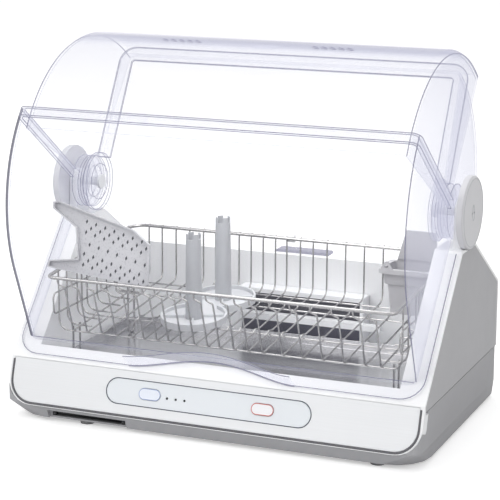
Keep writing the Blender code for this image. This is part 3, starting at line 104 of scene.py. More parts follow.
# %% [markdown]
# Every other node comes from one method, which takes the node's settings first and then what
# goes into its sockets. The same class serves the materials here and the sky at the end.
# %% A graph of nodes and a material
class Graph:
    """A tree of shader nodes."""

    def __init__(self, tree):
        self.tree = tree

    def put(self, socket, value):
        """Links a socket to another node's value, or sets it."""
        if isinstance(value, Value):
            self.tree.links.new(value.socket, socket)
        elif socket.type == "RGBA":
            socket.default_value = (*value, 1.0)
        else:
            socket.default_value = value

    def node(self, kind, sockets=None, output=0, stops=None, **settings):
        """Any node: its settings first, then the values or links of its sockets."""
        made = self.tree.nodes.new("ShaderNode" + kind)
        for name, value in settings.items():
            setattr(made, name, value)
        if stops:
            for element, (position, colour) in zip(made.color_ramp.elements, stops):
                element.position = position
                element.color = (*colour, 1.0)
        for name, value in (sockets or {}).items():
            self.put(made.inputs[name], value)
        return Value(self, made.outputs[output])

    def maths(self, operation, a, b):
        return self.node("Math", {0: a, 1: b}, operation=operation)

    def mix(self, share, a, b):
        """A colour between a and b."""
        return self.node("Mix", {0: share, 6: a, 7: b}, output=2, data_type="RGBA")

    def place(self, scale=(1, 1, 1)):
        """Object coordinates, stretched along each axis."""
        where = self.node("TexCoord", output="Object")
        return self.node("Mapping", {"Vector": where, "Scale": scale})

    def noise(self, waves, detail=2.0, stretch=(1, 1, 1)):
        """Soft noise, with so many waves in each metre."""
        return self.node("TexNoise", {"Vector": self.place(stretch), "Scale": waves,
                                      "Detail": detail}, output="Fac")

    def bump(self, height, strength, distance):
        return self.node("Bump", {"Height": height, "Strength": strength,
                                  "Distance": distance}, output="Normal")


class Finish(Graph):
    """A material with a Principled shader."""

    def __init__(self, name, **sockets):
        self.material = bpy.data.materials.new(name)
        self.material.use_nodes = True
        super().__init__(self.material.node_tree)
        self.shader = self.tree.nodes["Principled BSDF"]
        self.feed(**sockets)

    def feed(self, **sockets):
        """Sets or links sockets of the shader, such as Base_Color=(r, g, b)."""
        for name, value in sockets.items():
            self.put(self.shader.inputs[name.replace("_", " ")], value)


# %% [markdown]
# Moulded plastic
# Housings like this are injection moulded in ABS. The surface is never one colour: it carries a
# fine grain from the mould, very faint clouds where the melt cooled, and handling makes the
# gloss uneven. Three noises at three sizes give that, each weak enough to be felt, not seen.
# %% Plastic finishes
melt_waves, wear_waves, grain_waves = 9.0, 60.0, 1400.0
grain_depth, wear_gloss = 0.0004, 0.12
cad_finishes = len(bpy.data.materials)


def plastic(name, colour, roughness, grain, cloud=0.03):
    finish = Finish(name, IOR=1.52)
    melt = finish.noise(melt_waves, 3.0)
    wear = finish.noise(wear_waves)
    dark = tuple(value * (1 - cloud) for value in colour)
    light = tuple(min(value * (1 + cloud), 1) for value in colour)
    finish.feed(Base_Color=finish.mix(melt, dark, light),
                Roughness=wear * wear_gloss + (roughness - wear_gloss / 2),
                Normal=finish.bump(finish.noise(grain_waves, 1.0), grain, grain_depth))
    return finish.material


white = plastic("satin_white", (0.86, 0.865, 0.875), 0.36, 0.03, cloud=0.012)
grey = plastic("light_grey_grain", (0.40, 0.40, 0.415), 0.48, 0.12)
cap_grey = plastic("cap_grey", (0.62, 0.62, 0.64), 0.42, 0.05)
base_grey = plastic("base_grey_grain", (0.35, 0.35, 0.365), 0.52, 0.14)
tube_grey = plastic("tube_grey", (0.45, 0.46, 0.48), 0.34, 0.03)
stand_grey = plastic("stand_grey", (0.64, 0.65, 0.67), 0.34, 0.03)
holder_grey = plastic("holder_grey", (0.50, 0.495, 0.51), 0.36, 0.04)
tray_black = plastic("tray_black", (0.012, 0.012, 0.014), 0.16, 0.02)
rubber = plastic("foot_rubber", (0.20, 0.20, 0.205), 0.75, 0.2)
fan_black = plastic("fan_black", (0.025, 0.025, 0.028), 0.5, 0.1)
duct_grey = plastic("duct_grey", (0.30, 0.30, 0.31), 0.55, 0.12)
outlet_white = plastic("outlet_white", (0.86, 0.865, 0.88), 0.4, 0.03)
# painted shade, the next two: the dark behind the air outlet's openings and in the side tray's
# slots
painted_shade_black = plastic("painted_shade_black", (0.020, 0.020, 0.024), 0.5, 0.05)
painted_shade_violet = plastic("painted_shade_violet", (0.045, 0.043, 0.065), 0.5, 0.05)
pill_blue = plastic("pill_blue", (0.74, 0.77, 0.80), 0.42, 0.01, cloud=0.008)
button_blue = plastic("button_lavender", (0.76, 0.80, 0.88), 0.3, 0.02, cloud=0.01)
button_white = plastic("button_white", (0.84, 0.84, 0.86), 0.3, 0.02, cloud=0.01)
line_blue = plastic("button_blue_line", (0.34, 0.42, 0.68), 0.4, 0.02)
line_red = plastic("button_red_line", (0.62, 0.14, 0.12), 0.4, 0.02)
ink = plastic("printed_ink", (0.06, 0.07, 0.10), 0.5, 0.02)
# painted shadow: the dark of the gap under the silver strip
gap_shadow_grey = plastic("gap_shadow_grey", (0.10, 0.10, 0.11), 0.5, 0.05)
lens = plastic("lamp_lens", (0.02, 0.022, 0.025), 0.12, 0.0)
board = plastic("board_green", (0.03, 0.16, 0.08), 0.4, 0.1)
print(len(bpy.data.materials) - cad_finishes, "plastic finishes")

# %% [markdown]
# Speckled side tray
# The small side tray is a pale grey with tiny darker flecks, as recycled or stone-look plastics
# have. A noise cut by a steep ramp leaves only its peaks, which become the flecks.
# %% Speckle
fleck_waves, fleck_grain_waves = 520.0, 900.0


def speckled(name, ground, fleck):
    finish = Finish(name, Roughness=0.5)
    peaks = finish.node("ValToRGB", {"Fac": finish.noise(fleck_waves)},
                        stops=[(0.56, (0, 0, 0)), (0.66, (1, 1, 1))])
    finish.feed(Base_Color=finish.mix(peaks, ground, fleck),
                Normal=finish.bump(finish.noise(fleck_grain_waves), 0.1, 0.0003))
    return finish.material


speckle = speckled("speckled_grey", (0.53, 0.53, 0.55), (0.42, 0.42, 0.45))
print("the side tray's finish is", speckle.name)

# %% [markdown]
# Metals
# The front strip looks like brushed aluminium, with grain that runs along it, so its noise is
# stretched more than a hundredfold along X. The basket is drawn stainless wire: bright, with a
# little unevenness.
# %% Brushed strip and steel wire
brush_waves = (6.0, 900.0, 900.0)       # in each metre along X, Y and Z
brush_depth, brush_gloss = 0.0002, 0.16
cloud_waves, cloud_gloss = 45.0, 0.1


def brushed(name, colour, metallic, roughness, strength):
    finish = Finish(name, Metallic=metallic)
    streak = finish.noise(1.0, 4.0, brush_waves)
    finish.feed(Base_Color=finish.mix(streak, tuple(v * 0.93 for v in colour), colour),
                Roughness=streak * brush_gloss + (roughness - brush_gloss / 2),
                Normal=finish.bump(streak, strength, brush_depth))
    return finish.material


def metal(name, colour, roughness):
    finish = Finish(name, Metallic=1.0)
    cloud = finish.noise(cloud_waves)
    finish.feed(Base_Color=finish.mix(cloud, tuple(v * 0.9 for v in colour), colour),
                Roughness=cloud * cloud_gloss + roughness)
    return finish.material


silver = brushed("brushed_strip", (0.76, 0.77, 0.785), 0.20, 0.42, 0.12)
wire_steel = metal("wire_steel", (0.42, 0.415, 0.41), 0.16)
tray_steel = metal("tray_steel", (0.66, 0.66, 0.67), 0.18)
pin_steel = metal("pin_steel", (0.55, 0.55, 0.56), 0.3)
coil = metal("heater_coil", (0.30, 0.22, 0.18), 0.45)
print("metals:", *(finish.name for finish in (silver, wire_steel, tray_steel, pin_steel, coil)))

# %% [markdown]
# Clear polycarbonate
# Real glass shading bends light through four or more walls here and hides the basket in noise.
# A thin clear wall hardly bends it, so the wall is drawn by how much it covers: almost nothing
# where it is seen face on, more where the eye looks along it. Layer Weight's Facing gives that,
# and it drives Alpha, which also lets light through to the dishes. What the wall adds is white
# studio light bent inside it, so its own colour is painted light, a faint emitted glow, not paint
# lit by the lamps, and the last of its silhouette is painted shade.
# %% Clear finishes
outline_from, outline_full = 0.66, 0.90     # where the last dark line begins and is full
outline_colour, outline_cover = (0.12, 0.12, 0.17), 0.75
paint_share = 0.15                          # how much of its glow the lamps may light as paint
haze_waves, haze_cover = 12.0, 0.01


def clear(name, glow, face, edge, sharpness, outline=0.0, shine=0.12):
    """Clear plastic that covers face where it is seen flat and edge where it is seen along.

    glow is the studio's light that it bends towards the eye, and outline is how dark the last of
    its silhouette is."""
    finish = Finish(name, Roughness=0.06, IOR=1.5, Specular_IOR_Level=shine,
                    Base_Color=tuple(value * paint_share for value in glow), Emission_Strength=1.0)
    grazing = finish.node("LayerWeight", {"Blend": 0.5}, output="Facing")
    haze = finish.noise(haze_waves)
    last = finish.node("MapRange", {"Value": grazing, "From Min": outline_from,
                                    "From Max": outline_full},
                       output="Result", interpolation_type="SMOOTHSTEP")
    # painted light and shade: the emitted glow stands for studio light bent inside the wall, and
    # the outline darkens the last of the silhouette
    finish.feed(Emission_Color=finish.mix(last * outline, glow, outline_colour),
                Alpha=grazing ** sharpness * (edge - face) + face
                + last * outline * outline_cover + (haze - 0.5) * haze_cover)
    return finish.material


cover_clear = clear("clear_cover", (0.54, 0.55, 0.68), 0.030, 0.50, 3.5, outline=0.8)
cover_edge = clear("clear_edge", (0.50, 0.51, 0.62), 0.12, 0.60, 2.2, outline=0.9)
cover_rib = clear("clear_rib", (0.60, 0.61, 0.72), 0.050, 0.50, 3.0)
cover_band = clear("clear_band", (0.54, 0.55, 0.66), 0.10, 0.40, 2.0)
# painted shade: the next two finishes draw the dark lines along clear edges
cover_line = clear("clear_line", (0.14, 0.14, 0.18), 0.70, 0.85, 1.0)
cover_faint = clear("clear_faint_line", (0.20, 0.20, 0.28), 0.55, 0.75, 1.0)
hub_clear = clear("clear_hub", (0.58, 0.59, 0.67), 0.06, 0.26, 2.0, outline=0.5, shine=0.5)
print(sum(name.startswith("clear") for name in bpy.data.materials.keys()), "clear finishes")

# %% [markdown]
# Making pieces
# Each piece starts as a bmesh, is closed and turned outwards, and then becomes an object that
# stays at the origin, with its place in its mesh. Rounded edges catch the thin highlights that
# show a real moulding, so most pieces end with a small bevel.
# %% A finished piece
many_sided = 9          # a face with so many corners is a flat end or top, so it isn't smoothed
merge_reach = 1e-6


def shade(mesh, angle):
    """Smooth over curves, sharp past an angle, and flat on the large many-sided faces."""
    mesh.shade_smooth()
    mesh.set_sharp_from_angle(angle=math.radians(angle))
    for face in mesh.polygons:
        face.use_smooth = len(face.vertices) < many_sided


def settle(piece, body, stands_for):
    """Puts a piece in the scene, on its body and in the place of its CAD nodes."""
    scene.collection.objects.link(piece)
    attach(piece, body)
    if stands_for:
        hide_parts(*stands_for)
    return piece


def finish_piece(name, shape, finish, body="body", stands_for=(), rounding=0.0, angle=32,
                 wall=0.0, edge=None):
    """A mesh object from a bmesh, with its finish, its shading and its modifiers.

    A skin gets the thickness wall, and edge is then the finish of its open rim."""
    bmesh.ops.remove_doubles(shape, verts=shape.verts, dist=merge_reach)
    bmesh.ops.recalc_face_normals(shape, faces=shape.faces)
    middle = sum((v.co for v in shape.verts), Vector()) / len(shape.verts)
    outward = sum(f.calc_area() * f.normal.dot(f.calc_center_median() - middle)
                  for f in shape.faces)
    if outward < 0:
        bmesh.ops.reverse_faces(shape, faces=shape.faces)
    mesh = bpy.data.meshes.new(name)
    shape.to_mesh(mesh)
    shape.free()
    mesh.materials.append(finish)
    if edge:
        mesh.materials.append(edge)
    shade(mesh, angle)
    piece = bpy.data.objects.new(name, mesh)
    if wall:
        solid = piece.modifiers.new("wall", "SOLIDIFY")
        solid.thickness = wall
        solid.offset = -1
        solid.use_even_offset = True
        solid.material_offset_rim = 1 if edge else 0
    if rounding:
        bevel = piece.modifiers.new("rounding", "BEVEL")
        bevel.width = rounding
        bevel.segments = 2
        bevel.limit_method = "ANGLE"
        bevel.angle_limit = math.radians(angle)
        bevel.harden_normals = True
    return settle(piece, body, stands_for)


# %% [markdown]
# Most fittings are plates and blocks, so one helper pushes a flat outline up to a height. The CAD
# solids are loose triangles. A merged copy joins their flat faces again, so that a bevel finds
# only the real edges.
# %% Blocks and softened copies
def slab(outline, low, high, place=Matrix(), sides=0):
    """A bmesh block: a flat outline pushed up from low to high, then put in place.

    The faces round its sides may use the piece's second finish."""
    shape = bmesh.new()
    points = [shape.verts.new((u, v, low)) for u, v in outline]
    face = shape.faces.new(points)
    made = bmesh.ops.extrude_face_region(shape, geom=[face])["geom"]
    moved = [v for v in made if isinstance(v, bmesh.types.BMVert)]
    bmesh.ops.translate(shape, verts=moved, vec=(0, 0, high - low))
    for side in shape.faces:
        side.material_index = sides if len(side.verts) == 4 and len(outline) > 4 else 0
    bmesh.ops.transform(shape, matrix=place, verts=shape.verts)
    return shape


def gathered(shapes):
    """Several blocks as one bmesh."""
    whole = bmesh.new()
    for shape in shapes:
        mesh = bpy.data.meshes.new("block")
        shape.to_mesh(mesh)
        shape.free()
        whole.from_mesh(mesh)
        bpy.data.meshes.remove(mesh)
    return whole


def soften(node, finish, rounding):
    """A merged copy of a CAD node whose shape is right, with small round edges."""
    shape = bmesh.new()
    shape.from_mesh(nodes[node].data)
    bmesh.ops.remove_doubles(shape, verts=shape.verts, dist=20 * merge_reach)
    bmesh.ops.dissolve_limit(shape, angle_limit=math.radians(0.6), verts=shape.verts,
                             edges=shape.edges)
    return finish_piece(f"{node}_soft", shape, finish, nodes[node]["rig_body"], (node,), rounding)


# %% [markdown]
# Wires and thin lines are curves with a round bevel. Flat drawings are made in their own u and v
# axes, with round corners, and a matrix then lays them on the surface where they belong.
# %% Wires and flat drawings
thin = 0.0005           # radius of most drawn lines
line_steps = 40


def wires(name, routes, radius, finish, stands_for=(), body="body", closed=False, sides=3):
    """Round wires along routes, as one piece."""
    curve = bpy.data.curves.new(name, "CURVE")
    curve.dimensions = "3D"
    curve.bevel_depth = radius
    curve.bevel_resolution = sides
    curve.use_fill_caps = True
    for route in routes:
        line = curve.splines.new("POLY")
        line.points.add(len(route) - 1)
        for point, place in zip(line.points, route):
            point.co = (*place, 1)
        line.use_cyclic_u = closed
        line.use_smooth = True
    curve.materials.append(finish)
    return settle(bpy.data.objects.new(name, curve), body, stands_for)


def view_place(origin, along, up):
    """Where a flat drawing lies: its u and v axes, and its origin."""
    u_axis, v_axis = Vector(along).normalized(), Vector(up).normalized()
    place = Matrix((u_axis, v_axis, u_axis.cross(v_axis))).transposed().to_4x4()
    place.translation = Vector(origin)
    return place


def rounded(corners, steps=6):
    """An outline whose corners (u, v, radius) are rounded."""
    outline = []
    for index, (u, v, radius) in enumerate(corners):
        here = Vector((u, v))
        if radius <= 0:
            outline.append(here)
            continue
        before = (Vector(corners[index - 1][:2]) - here).normalized()
        after = (Vector(corners[(index + 1) % len(corners)][:2]) - here).normalized()
        half = before.angle(after) / 2
        centre = here + (before + after).normalized() * radius / math.sin(half)
        start = here + before * radius / math.tan(half) - centre
        end = here + after * radius / math.tan(half) - centre
        first = math.atan2(start.y, start.x)
        turn = (math.atan2(end.y, end.x) - first + math.pi) % (2 * math.pi) - math.pi
        for step in range(steps + 1):
            angle = first + turn * step / steps
            outline.append(centre + radius * Vector((math.cos(angle), math.sin(angle))))
    return outline


def rectangle(left, low, right, high, radius=0.0, steps=6):
    """A rectangle's outline, with round corners if it has a radius."""
    corners = ((left, low), (right, low), (right, high), (left, high))
    return rounded([(u, v, radius) for u, v in corners], steps)


def laid(place, outline, level):
    """An outline's points in space: on a drawing's place, at a level above it."""
    return [place @ Vector((u, v, level)) for u, v in outline]


def ring(x, across, high):
    """A round or oval loop about the hinge line, at a place along it."""
    turns = [math.tau * step / line_steps for step in range(line_steps)]
    return [Vector((x, hinge.y + across * math.cos(turn), hinge.z + high * math.sin(turn)))
            for turn in turns]


# %% [markdown]
# The covers
# The hood is three barrel shells that turn about one line. Each is a wide U: a curved wall with a
# flat end at both sides and a rounded corner between. The U is drawn once at the first angle and
# spun about the barrel's centre, the flat ends are filled down to the hinge, and a Solidify
# modifier gives the whole skin the thickness of the moulding.
# %% Barrel skins and their ends
wall = 0.0024
corner_steps, end_steps = 6, 24
shell_rounding, shell_angle = 0.0005, 50


def polar(radius, angle, centre=(0.0, 0.0)):
    """A point of the side view (y, z); angles count from the front upwards."""
    return Vector((hinge.y + centre[0] - radius * math.cos(angle),
                   hinge.z + centre[1] + radius * math.sin(angle)))


def hood_skin(centre, radius, half, corner, first, last, steps, foot=None):
    """A U with round corners, spun about the centre; foot gives a straight skirt its end."""
    shape = bmesh.new()
    middle = Vector((0, hinge.y + centre[0], hinge.z + centre[1]))
    profile = [(-half, radius - corner)]
    for turn in range(1, corner_steps + 1):
        angle = math.pi / 2 * turn / corner_steps
        profile.append((-half + corner * (1 - math.cos(angle)),
                        radius - corner * (1 - math.sin(angle))))
    profile += [(-x, r) for x, r in reversed(profile)]
    row = [shape.verts.new((x, *polar(r, first, centre))) for x, r in profile]
    edges = [shape.edges.new(pair) for pair in zip(row, row[1:])]
    spun = bmesh.ops.spin(shape, geom=row + edges, cent=middle, axis=(-1, 0, 0),
                          angle=last - first, steps=steps)
    if foot:
        ends = [e for e in spun["geom_last"] if isinstance(e, bmesh.types.BMEdge)]
        made = bmesh.ops.extrude_edge_only(shape, edges=ends)["geom"]
        for vert in (v for v in made if isinstance(v, bmesh.types.BMVert)):
            reach = math.hypot(vert.co.y - middle.y, vert.co.z - middle.z)
            vert.co.y, vert.co.z = foot(reach)
    return shape


def end_plates(shape, half, radius, first, last):
    """Both flat ends: from the curved wall's edge to an arc round the hinge."""
    for side in (-1, 1):
        edge = [v for v in shape.verts if abs(v.co.x - side * half) < merge_reach]
        edge.sort(key=lambda v: (math.atan2(v.co.z - hinge.z, hinge.y - v.co.y)
                                 + math.radians(100)) % math.tau)
        angles = [first + (last - first) * step / end_steps for step in range(end_steps + 1)]
        hub = [shape.verts.new((side * half, *polar(radius, angle))) for angle in angles]
        shape.faces.new(edge + hub)


# %% [markdown]
# A cover's hubs are thick discs on the hinge line, moulded with rings, and a flat U-shaped band
# stiffens its edge. A clear edge shows as a thin darker line, since it bends the light away from
# the eye, so both helpers draw such lines too, as painted shade.
# %% Hubs, bands and edge lines
hub_bore, ring_lift, ring_share, hub_steps = 0.0055, 0.0012, 0.86, 48
hub_line, inner_line_share = 0.0004, 0.62
line_inset, line_depth = 0.0009, 0.0042


def ring_hub(name, body, near, far, radius, rings):
    """Both thick hubs of a cover: a stepped profile spun about the hinge line."""
    shape = bmesh.new()
    step = (radius - hub_bore) / rings
    profile = [(near, hub_bore)]
    for number in range(rings):
        face = near + (0.0 if number % 2 else ring_lift)
        inner = hub_bore + step * number
        profile += [(face, inner), (face, inner + step * ring_share)]
    profile += [(near, radius - ring_lift), (near, radius), (far, radius), (far, hub_bore)]
    for side in (-1, 1):
        row = [shape.verts.new((side * x, hinge.y, hinge.z + r)) for x, r in profile]
        edges = [shape.edges.new(pair) for pair in zip(row, row[1:] + row[:1])]
        bmesh.ops.spin(shape, geom=row + edges, cent=hinge, axis=(1, 0, 0), angle=math.tau,
                       steps=hub_steps, use_merge=True)
    loops = ((near, radius), (far, radius), (near, radius * inner_line_share))
    wires(f"{name}_lines", [ring(side * x, r, r) for side in (-1, 1) for x, r in loops],
          hub_line, cover_faint, body=body, closed=True, sides=1)
    return finish_piece(name, shape, hub_clear, body, angle=40)


def u_band(name, body, half, corner, thick, start, end, width):
    """A U-shaped strip whose legs start at one point of the side view and end at another."""
    reach = (end - start).length
    place = view_place((0, *start), (1, 0, 0), (0, *(end - start)))
    inner = max(corner - thick, 0.001)
    outline = rounded([(-half, 0, 0), (-half + thick, 0, 0), (-half + thick, reach - thick, inner),
                       (half - thick, reach - thick, inner), (half - thick, 0, 0), (half, 0, 0),
                       (half, reach, corner), (-half, reach, corner)], 7)
    wires(f"{name}_lines", [laid(place, outline, level) for level in (0, width)], thin,
          cover_faint, body=body, closed=True, sides=1)
    return finish_piece(name, slab(outline, 0, width, place), cover_band, body, rounding=0.0006)


def corner_line(side, half, radius, first, last, centre=(0.0, 0.0), foot=None):
    """A line along a cover's round corner, a little inside it."""
    row = [polar(radius - line_depth, first + (last - first) * step / line_steps, centre)
           for step in range(line_steps + 1)]
    if foot:
        row.append(foot(radius - line_depth))
    return [Vector((side * (half - line_inset), *point)) for point in row]


# %% [markdown]
# The front cover's arc is centred a little in front of the hinge and ends in a straight skirt
# that meets the sloping ledge. These numbers are the real moulding's, as the CAD has them.
# %% Front cover
rim_angle, skirt_angle, front_hub_angle = (math.radians(a) for a in (39.5, -22, 301.7))
bow_centre, bow_radius, front_half, front_corner = (-0.0040, -0.0060), 0.1782, 0.2290, 0.0090
hub_radius = 0.0300
ledge_front, ledge_low, ledge_climb, ledge_depth = 0.1490, 0.0700, 0.1375, 0.1225
ledge_rise = Vector((ledge_depth, ledge_climb)).normalized()
ledge_out = Vector((-ledge_rise.y, ledge_rise.x))
ledge_start = Vector((y0 - ledge_front, ledge_low))
ledge_view = view_place((0, *ledge_start), (1, 0, 0), (0, *ledge_rise))
seat_gap = 0.0003


def skirt_foot(radius):
    """Where the skirt, at a distance from the arc's centre, meets the ledge."""
    start = polar(radius, skirt_angle, bow_centre)
    downwards = Vector((-math.sin(skirt_angle), -math.cos(skirt_angle)))
    height = (start - ledge_start).dot(ledge_out) - seat_gap
    return start + downwards * (height / -downwards.dot(ledge_out))


shape = hood_skin(bow_centre, bow_radius, front_half, front_corner, rim_angle, skirt_angle, 34,
                  skirt_foot)
end_plates(shape, front_half, hub_radius, rim_angle, front_hub_angle)
finish_piece("front_cover_clear", shape, cover_clear, "front_cover", ("front_cover",), wall=wall,
             rounding=shell_rounding, angle=shell_angle, edge=cover_edge)
for side, label, radius, finish in ((-1, "left", 0.0015, cover_line),
                                    (1, "right", 0.0007, cover_faint)):
    line = corner_line(side, front_half, bow_radius, rim_angle, skirt_angle, bow_centre, skirt_foot)
    wires(f"front_cover_{label}_line", [line], radius, finish, body="front_cover", sides=2)
print("the skirt meets the ledge at", tuple(round(v, 4) for v in skirt_foot(bow_radius)))

# %% [markdown]
# A stiff band runs round the front cover's opening edge, from hub to hub. It stands a little
# proud of the shell, so it is the line by which the eye reads the whole cover.
# %% Front cover's rim and hubs
rim_proud, rim_corner, rim_thick, rim_width = 0.0015, 0.0100, 0.0042, 0.0105
u_band("front_cover_rim", "front_cover", front_half + rim_proud, rim_corner, rim_thick,
       polar(0.0270, rim_angle), polar(bow_radius + rim_proud, rim_angle, bow_centre), rim_width)
hubs = ring_hub("front_cover_hubs", "front_cover", 0.2195, 0.2270, hub_radius, 4)
print("the front cover's hubs have", len(hubs.data.polygons), "faces")

# %% [markdown]
# A flat flange lies on the ledge along the foot of the front cover. At its middle the flange
# arches up, and a lip stands out over the arch, so that fingers can lift the cover.
# %% Front flange and finger lip
flange_half, flange_low, flange_reach, flange_corner = 0.2385, 0.0042, 0.1797, 0.0250
flange_top, lip_top = 0.0023, 0.0220
lip_half, lip_rise, lip_thick, lip_steps = 0.0980, 0.0157, 0.0022, 28
foot_along = (skirt_foot(bow_radius - wall) - ledge_start).dot(ledge_rise)
inside = front_half - wall


def arch_line(offset):
    """The arch along the flange: a low curve that dies out at both ends."""
    shares = [2 * step / lip_steps - 1 for step in range(lip_steps + 1)]
    return [Vector((share * lip_half, flange_low + offset + lip_rise * (1 - share ** 2) ** 2))
            for share in shares]


flange = rounded([(flange_half, flange_low, flange_corner), (flange_half, flange_reach, 0),
                  (inside, flange_reach, 0), (inside, foot_along, 0),
                  (-inside, foot_along, 0), (-inside, flange_reach, 0),
                  (-flange_half, flange_reach, 0), (-flange_half, flange_low, flange_corner)])
right_side, left_side, arch = flange[:8], flange[-8:], arch_line(0.0)
finish_piece("front_cover_flange", slab(flange + arch, seat_gap, flange_top, ledge_view),
             cover_rib, "front_cover", rounding=0.0006)
flange_lines = (right_side, left_side, left_side + arch + right_side,
                [(-inside, foot_along), (inside, foot_along)])
wires("front_cover_flange_lines", [laid(ledge_view, line, flange_top) for line in flange_lines],
      thin, cover_faint, body="front_cover", sides=1)
for number, (level, offset) in enumerate(((seat_gap, 0.0), (lip_top, 0.0010))):
    wires(f"front_lip_line_{number + 1}", [laid(ledge_view, arch_line(offset), level)], thin,
          cover_faint, body="front_cover", sides=1)
lip = arch_line(lip_thick) + list(reversed(arch))
finish_piece("front_cover_lip", slab(lip, seat_gap, lip_top, ledge_view), cover_rib,
             "front_cover", rounding=0.0007)
print("the finger lip is", round(2000 * lip_half), "mm wide")

# %% [markdown]
# The upper cover slides under the front one. It has two rows of slanted vents along its top.
# The vents are real holes: slim cutters are joined in one mesh and a Boolean takes them out.
# %% Upper cover
def cut_out(piece, shape):
    """Takes a cutter's shape out of a piece and keeps the result as its mesh."""
    mesh = bpy.data.meshes.new("cutter")
    bmesh.ops.recalc_face_normals(shape, faces=shape.faces)
    shape.to_mesh(mesh)
    shape.free()
    cutter = bpy.data.objects.new("cutter", mesh)
    scene.collection.objects.link(cutter)
    step = piece.modifiers.new("cut", "BOOLEAN")
    step.operation = "DIFFERENCE"
    step.solver = "EXACT"
    step.object = cutter
    seen = piece.evaluated_get(bpy.context.evaluated_depsgraph_get())
    result = bpy.data.meshes.new_from_object(seen)
    piece.modifiers.clear()
    old = piece.data
    piece.data = result
    shade(result, 30)
    bpy.data.meshes.remove(old)
    bpy.data.objects.remove(cutter)
    bpy.data.meshes.remove(mesh)


upper_radius, upper_half, upper_corner = 0.1745, 0.2189, 0.0085
upper_front, upper_back = math.radians(30), math.radians(129)
shape = hood_skin((0, 0), upper_radius, upper_half, upper_corner, upper_front, upper_back, 40)
end_plates(shape, upper_half, hub_radius, upper_back, upper_front + math.tau)
upper_cover = finish_piece("upper_cover_clear", shape, cover_clear, "upper_cover",
                           ("upper_cover",), wall=wall, angle=shell_angle, edge=cover_edge)
wires("upper_cover_lines", [corner_line(side, upper_half, upper_radius, upper_front, upper_back)
                            for side in (-1, 1)], 0.0006, cover_faint, body="upper_cover", sides=2)
print("the upper cover's shell has", len(upper_cover.data.polygons), "faces")

# %% [markdown]
# Each vent is one slit, drawn flat, slanted and repeated along the top. A small tab hangs under
# the top between the two rows. The hubs are stepped discs like the front cover's, but thinner.
# %% Vents, hubs and tab
vent_angle, vent_slant = math.radians(84), math.radians(-35)
vent_first, vent_pitch, vents_each_side = 0.0700, 0.0100, 5
slit_half, slit_radius, slit_line = 0.0050, 0.0011, 0.0009
cut_low, cut_high, tab_thick = -0.0060, 0.0040, 0.0020
vent_view = view_place((0, *polar(upper_radius, vent_angle)), (1, 0, 0),
                       (0, math.sin(vent_angle), math.cos(vent_angle)))
slit = rectangle(-slit_half, -slit_radius, slit_half, slit_radius, slit_radius, 3)
vents = [vent_view @ Matrix.Translation((side * (vent_first + vent_pitch * number), 0, 0))
         @ Matrix.Rotation(vent_slant, 4, "Z")
         for side in (-1, 1) for number in range(vents_each_side)]
cut_out(upper_cover, gathered([slab(slit, cut_low, cut_high, place, 1) for place in vents]))
wires("upper_cover_vent_lines", [laid(place, slit, -wall / 2) for place in vents], slit_line,
      cover_faint, body="upper_cover", closed=True, sides=1)
ring_hub("upper_cover_hubs", "upper_cover", 0.2130, 0.2160, hub_radius, 3)
tab = rectangle(-0.0040, -0.0060, 0.0240, 0.0060, 0.0040)
finish_piece("upper_cover_tab", slab(tab, -wall - tab_thick, seat_gap - wall, vent_view),
             cover_rib, "upper_cover", rounding=0.0006)
print("upper cover:", len(upper_cover.data.polygons), "faces, with", len(vents), "vents")

# %% [markdown]
# The rear cover hangs behind the towers. Its front edge carries a wide flat flange, which shows
# as the double arch inside the upper cover, and a grip stands out at its foot.
# %% Rear cover
tail_centre, tail_radius, rear_half, rear_corner = (-0.0060, 0.0080), 0.1560, 0.2104, 0.0080
rear_angle, rear_hub_angle, tower_slope = (math.radians(a) for a in (120, 240, 33))
rear_hub_radius, tower_gap = 0.0340, 0.0010
tower_back, tower_top = 0.0240, 0.2075
slope_down = Vector((math.cos(tower_slope), -math.sin(tower_slope)))
slope_start = (Vector((y0 + tower_back, tower_top))
               + Vector((-slope_down.y, slope_down.x)) * tower_gap)
tail_middle = Vector((hinge.y + tail_centre[0], hinge.z + tail_centre[1]))


def slope_crossing(radius):
    """Where an arc about the rear cover's centre comes down to the towers' rear slope."""
    offset = slope_start - tail_middle
    inner = offset.dot(slope_down)
    along = math.sqrt(inner ** 2 - offset.length_squared + radius ** 2) - inner
    return slope_start + slope_down * along


foot_point = slope_crossing(tail_radius)
tail_end = math.atan2(foot_point.y - tail_middle.y, tail_middle.x - foot_point.x) % math.tau
shape = hood_skin(tail_centre, tail_radius, rear_half, rear_corner, rear_angle, tail_end, 26)
end_plates(shape, rear_half, rear_hub_radius, rear_hub_angle, rear_angle + math.tau)
finish_piece("rear_cover_clear", shape, cover_clear, "rear_cover", ("rear_cover",), wall=wall,
             rounding=shell_rounding, angle=shell_angle, edge=cover_edge)
print("rear cover ends at", round(math.degrees(tail_end), 1), "degrees")

# %% [markdown]
# The flange is the same U-shaped band as the front cover's rim, but flat and wide. The grip is a
# plain block with round outer corners.
# %% Rear flange, hubs and grip
flange_inner, flange_outer = polar(0.0300, rear_angle), polar(0.1705, rear_angle)
u_band("rear_cover_flange", "rear_cover", half=0.2155, corner=0.0200, thick=0.0165,
       start=flange_inner, end=flange_outer, width=0.0024)
ring_hub("rear_cover_hubs", "rear_cover", 0.2066, rear_half, rear_hub_radius, 4)
grip_left, grip_right, grip_near, grip_far = -0.0270, 0.0400, 0.1261, 0.1461
grip_low, grip_high, grip_corner = 0.1530, 0.1560, 0.0040
grip = rounded([(grip_left, grip_near, 0), (grip_right, grip_near, 0),
                (grip_right, grip_far, grip_corner), (grip_left, grip_far, grip_corner)])
finish_piece("rear_cover_grip", slab(grip, grip_low, grip_high), cover_faint, "rear_cover",
             rounding=0.0007)
print("the grip is", round(1000 * (grip_right - grip_left)), "mm wide")

